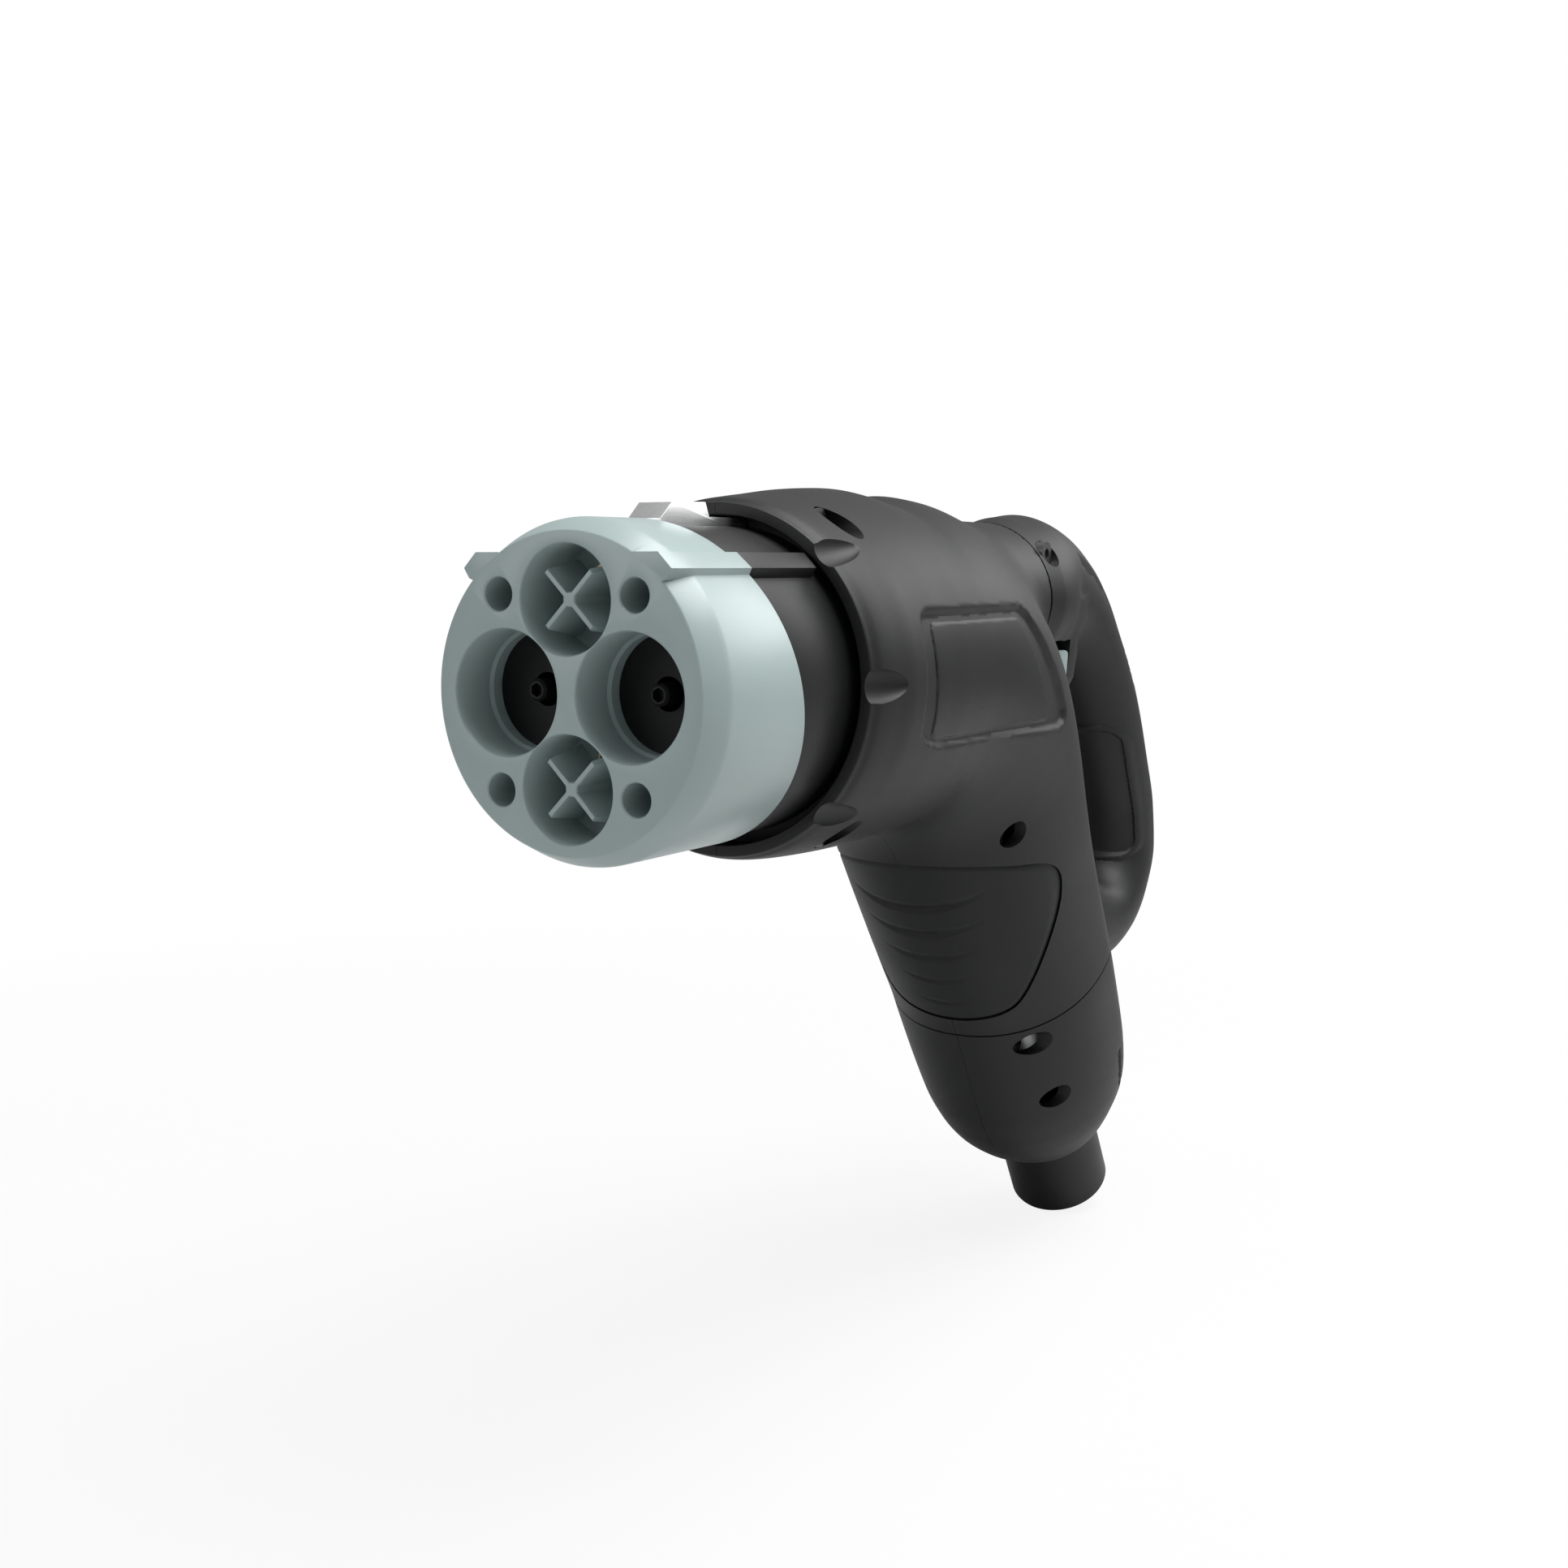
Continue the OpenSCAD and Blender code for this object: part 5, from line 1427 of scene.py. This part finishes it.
    def button(self) -> None:
        """Builds the release button."""
        piece = self.button_block("release_button_moulded", 0, 0)
        stem = block("stem", (-3.5, 200, self.button_top - 0.5), (3.5, 207, 5.5))
        softened(piece, 1.2, 4, 30)
        rows = ((-13.5, 12.6, 10.2), (-11.5, 14.6, 12.3), (-7, 16.6, 14.5), (0, 17.3, 15.7), (2, 17.35, 15.9))
        rings = []
        for z, side, reach in rows:
            x, y = oval(side, reach, reach, 2 / 0.91, 72)
            rings.append(np.column_stack([x, self.form.boss_y + y, np.full(len(x), z)]))
        combine(piece, [rings_piece("boss_form", rings)], "INTERSECT")
        combine(piece, [stem], "UNION")
        shade(piece, 40)
        self.wardrobe.fit(piece, Finish.TEAL, "button", "release_button")

    def tools(self, side: int) -> list[bpy.types.Object]:
        """Makes the cutters for the inside of the handle."""
        form, g = self.form, self.free
        keys = form.row_keys()
        hollow = rings_piece("hollow", [form.ring(k, -self.wall, 64) for k in np.linspace(keys[2], keys[6], 14)])
        lap = rings_piece("lap_room", [self.neck.ring(y, -1.75, 64) for y in (189, 196, 207.5)])
        for room in (hollow, lap):
            combine(room, [block("keep", (-40, 150, -40), (40, 206, 6.0))])
        crank = rings_piece("crank_room", [self.plain_ring(row, self.lever_w / 2 + g, 12) for row in form.rows()[6:8]])
        button = self.button_block("button_room", g, self.button_travel)
        stem = block("stem_room", (-4, 199.5, 0), (4, 207.5, 14))
        tools = [hollow, lap, crank, self.channel(), button, stem, side_bore("pin_way", 2.05, -15, 15, 260, -12)]
        if side > 0:
            tools += [side_bore("pocket", self.pocket_r, 14.5, 60, 194.5, 28.5),
                      side_bore("pocket", self.pocket_r, 11, 60, 238, -64)]
        return tools

    def plain_ring(self, row: Sequence[float], half: float, depth: float) -> Array:
        """Returns a plain oval ring at a row of the handle."""
        x, e = oval(half, depth, depth, self.bow_power, 48)
        a = math.radians(row[2])
        return np.column_stack([x, row[0] + e * math.sin(a), row[1] + e * math.cos(a)])

    def build(self) -> None:
        """Builds both halves of the handle, the lever and the button."""
        for side, hand in ((1, "right"), (-1, "left")):
            piece = half_piece(f"handle_shell_{hand}", self.skin, (-1.5, 189.2, -104), (26, 302, 42), self.cell, side,
                               self.part_gap)
            parted(piece, (0, self.form.band_y, 0), (0, -1, 0))
            combine(piece, self.tools(side))
            shade(piece, 32)
            self.wardrobe.fit(piece, Finish.SHELL, "body", f"handle_{hand}")
        self.lever()
        self.button()


@dataclass
class Hook:
    """The metal latch hook on top of the nose."""

    wardrobe: Wardrobe
    width: float = 8.3

    def build(self) -> None:
        """Builds the hook with its pivot boss and its arm to the rod."""
        h, w = 38.7, self.width / 2
        outline = [(27, 32), (27, 35), (31, h - 0.3), (43.5, h), (45, 35.6), (59, 35.6), (64, 31.4), (96, 31.4),
                   (98, 30), (98, 27.5), (88, 27), (78, 26), (64, 27.2), (58, 32)]
        main = prism("latch_hook_stamped", outline, lambda u, v, d: (d, u, v), -w, w)
        combine(main, [side_bore("boss", 4.4, -w, w, 84, 29), block("arm", (-2, 81, 9), (2, 87, 29)),
                       side_bore("foot", 3, -2, 2, 84, 9), side_bore("peg", 1.5, 0, 8.6, 84, 9)], "UNION", exact=True)
        combine(main, [side_bore("eye", 2.05, -10, 10, 84, 29)], exact=True)
        softened(main, 0.45, 3, 30)
        self.wardrobe.fit(main, Finish.BRIGHT, "latch", "latch_hook")


@dataclass
class Cable:
    """The short cable stub with its cores."""

    wardrobe: Wardrobe
    shells: Shells
    radius: float = 15.0
    wall: float = 2.2

    def route(self, side: int, x0: float, e0: float, x1: float, e1: float, y1: float) -> Array:
        """Returns points from the cable end up the lower axis and round the bend to the contacts."""
        b = self.shells.body
        pts = [b.lower_point(side * x0, e0, s) for s in np.linspace(0, 80, 9)]
        for share, s in ((0.25, 96), (0.6, 114), (0.9, 134)):
            pts.append(b.lower_point(side * (x0 * (1 - share) + x1 * share), e0 * (1 - share) + e1 * share, s))
        for t in np.linspace(b.turn, 0, 17):
            r = b.bend_r + e1
            pts.append((side * x1, b.bend_y + r * math.sin(t), r * math.cos(t) - b.bend_r))
        pts.append((side * x1, y1, e1))
        return np.array(pts)

    def tube(self, name: str, route: Array, radius: float, count: int = 28) -> bpy.types.Object:
        """Sweeps a round section along a route."""
        rings = []
        for i, p in enumerate(route):
            d = route[min(i + 1, len(route) - 1)] - route[max(i - 1, 0)]
            d = d / np.linalg.norm(d)
            u = np.cross(d, [0.02, 0, 1])
            u /= np.linalg.norm(u)
            v = np.cross(d, u)
            turn = np.linspace(0, 2 * math.pi, count, endpoint=False)
            rings.append(p + radius * (np.outer(np.cos(turn), u) + np.outer(np.sin(turn), v)))
        return rings_piece(name, rings, 50)

    def build(self) -> None:
        """Builds the jacket, the cores and the signal bundle."""
        r, w = self.radius, self.wall
        profile = [(0, r - w), (0, r - 0.5), (0.15, r - 0.15), (0.5, r), (80, r), (80, r - w)]
        jacket = self.shells.lower_tube("cable_jacket_extruded", profile, 96)
        self.wardrobe.fit(jacket, Finish.CABLE, "body", "cable_jacket")
        core = [self.tube("core", self.route(side, 5.3, 0, 15.2, 0, 73), 4.7) for side in (1, -1)]
        pair = core[0]
        pair.name = "power_cores_swept"
        combine(pair, [core[1]], "UNION")
        shade(pair, 50)
        self.wardrobe.fit(pair, Finish.CORE, "body", "power_cores")
        bundle = self.tube("signal_bundle", self.route(1, 0, -9.7, 0, -12, 69), 3, 20)
        self.wardrobe.fit(bundle, Finish.SIGNAL, "body", "signal_harness")


@dataclass
class CarriedNodes:
    """CAD nodes that keep their own shape and get a finish."""

    wardrobe: Wardrobe
    finishes: dict[Finish, tuple[str, ...]] = field(default_factory=lambda: {
        Finish.DARK: ("contact_holder_left", "contact_holder_right", "touch_pin_left", "touch_pin_right", "pin_carrier",
                      "micro_switch"),
        Finish.CONTACT: ("power_contact_left", "power_contact_right", "signal_contacts_top", "signal_contacts_bottom"),
        Finish.BRIGHT: ("lever_crank", "link_rod", "mechanism_bracket", "cable_clamp"),
        Finish.PLATED: ("latch_pin", "lever_pin", "latch_spring", "lever_spring", "button_spring", "nose_screws",
                        "clamp_screws"),
        Finish.BLACKENED: ("housing_screws", "handle_screws", "tail_screws"),
        Finish.SOLENOID: ("lock_solenoid",),
        Finish.GRIP: ("cable_gland",),
    })

    def build(self) -> None:
        """Dresses each node."""
        for finish, names in self.finishes.items():
            for name in names:
                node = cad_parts[name]
                self.wardrobe.wear(node, finish)
                LOG.info("%s keeps its CAD shape", name)


@dataclass
class Stage:
    """Floor, lights, world and camera."""

    camera_mm: tuple[float, float, float] = (229.35, -294.67, 25.61)
    right: tuple[float, float, float] = (0.8544, 0.5196, 0.0)
    up: tuple[float, float, float] = (-0.0600, 0.0986, 0.9933)
    forward: tuple[float, float, float] = (-0.5161, 0.8487, -0.1154)
    sensor: float = 36.0
    lens: float = 43.456
    floor_size: float = 6.0
    floor_white: float = 0.86
    world_light: float = 0.34

    def camera(self) -> None:
        """Sets the camera at the photograph's viewing angle."""
        data = bpy.data.cameras.new("camera")
        data.sensor_width, data.lens, data.clip_start, data.clip_end = self.sensor, self.lens, 0.01, 50
        eye = bpy.data.objects.new("camera", data)
        turn = Matrix((self.right, self.up, tuple(-v for v in self.forward))).transposed()
        eye.matrix_world = Matrix.Translation(Vector(self.camera_mm) * MM) @ turn.to_4x4()
        bpy.context.scene.collection.objects.link(eye)
        bpy.context.scene.camera = eye

    def lamp(self, name: str, place: Sequence[float], aim: Sequence[float], size: Sequence[float],
             power: float) -> None:
        """Adds a soft area lamp that looks at a point, all in metres and watts."""
        data = bpy.data.lights.new(name, "AREA")
        data.shape, data.size, data.size_y, data.energy = "RECTANGLE", size[0], size[1], power
        lamp = bpy.data.objects.new(name, data)
        lamp.location = place
        lamp.rotation_euler = (Vector(aim) - Vector(place)).to_track_quat("-Z", "Y").to_euler()
        bpy.context.scene.collection.objects.link(lamp)

    def world(self) -> None:
        """Makes a plain soft world whose background is white to the camera."""
        world = bpy.data.worlds.new("studio")
        world.use_nodes = True
        tree = world.node_tree
        tree.nodes.clear()
        path = tree.nodes.new("ShaderNodeLightPath")
        mix = tree.nodes.new("ShaderNodeMixShader")
        out = tree.nodes.new("ShaderNodeOutputWorld")
        tree.links.new(path.outputs["Is Camera Ray"], mix.inputs[0])
        for slot, strength in ((1, self.world_light), (2, 1.0)):
            shine = tree.nodes.new("ShaderNodeBackground")
            shine.inputs["Color"].default_value, shine.inputs["Strength"].default_value = (1, 1, 1, 1), strength
            tree.links.new(shine.outputs[0], mix.inputs[slot])
        tree.links.new(mix.outputs[0], out.inputs[0])
        bpy.context.scene.world = world

    def floor(self) -> None:
        """Lays a plain pale floor under the plug."""
        z = CAD_BOUNDS[0][2] / MM - 0.3
        s = self.floor_size / MM / 2
        floor = mesh_piece("floor", [(-s, -s, z), (s, -s, z), (s, s, z), (-s, s, z)], [(0, 1, 2, 3)])
        s = Shader("pale_floor")
        cloud = s.noise(120, 2, 0.5)
        s.set(Base_Color=s.mixed(cloud, (0.58, 0.58, 0.58), (0.62, 0.62, 0.62)), Roughness=0.9, Specular_IOR_Level=0.1)
        lit = s.node("ShaderNodeEmission", {}, {"Color": (1, 1, 1, 1), "Strength": 1.0})
        seen = s.node("ShaderNodeLightPath", out="Is Camera Ray")
        reach = s.node("ShaderNodeVectorMath", {"operation": "LENGTH"}, {0: s.place()}, out="Value")
        share = self.floor_white + (1 - self.floor_white) * s.spread(reach, 0.25, 0.75, 0.0, 1.0)
        blend = s.node("ShaderNodeMixShader", {}, {0: seen * share, 1: Socket(s, s.principled.outputs[0]), 2: lit})
        target = next(n for n in s.tree.nodes if n.type == "OUTPUT_MATERIAL")
        s.tree.links.new(blend.link, target.inputs[0])
        floor.data.materials.append(s.material)

    def build(self) -> None:
        """Builds the whole stage."""
        self.camera()
        self.world()
        self.floor()
        self.lamp("top_softbox", (0.30, 0.25, 0.75), (0, 0.1, 0), (0.7, 0.7), 12.5)
        self.lamp("front_softbox", (-0.55, -0.85, 0.35), (0, 0, 0), (0.6, 0.6), 2.4)
        self.lamp("rear_softbox", (0.42, 1.00, 0.46), (0, 0.1, 0.02), (0.7, 0.4), 3.2)
        bpy.context.scene.view_settings.view_transform = "Standard"


def main() -> None:
    """Builds every sub-assembly in order."""
    logging.basicConfig(level=logging.INFO, format="%(message)s")
    wardrobe = Wardrobe()
    body = BodyForm()
    neck = NeckForm(body)
    Stage().build()
    shells = Shells(wardrobe, body, neck)
    shells.build()
    GripPad(wardrobe, body).build()
    LabelPlate(wardrobe, body, neck).build()
    nose = Nose(wardrobe)
    nose.build()
    Sleeve(wardrobe, nose).build()
    Handle(wardrobe, HandleForm(body), neck).build()
    Hook(wardrobe).build()
    Cable(wardrobe, shells).build()
    CarriedNodes(wardrobe).build()
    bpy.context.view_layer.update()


if __name__ == "__main__":
    main()
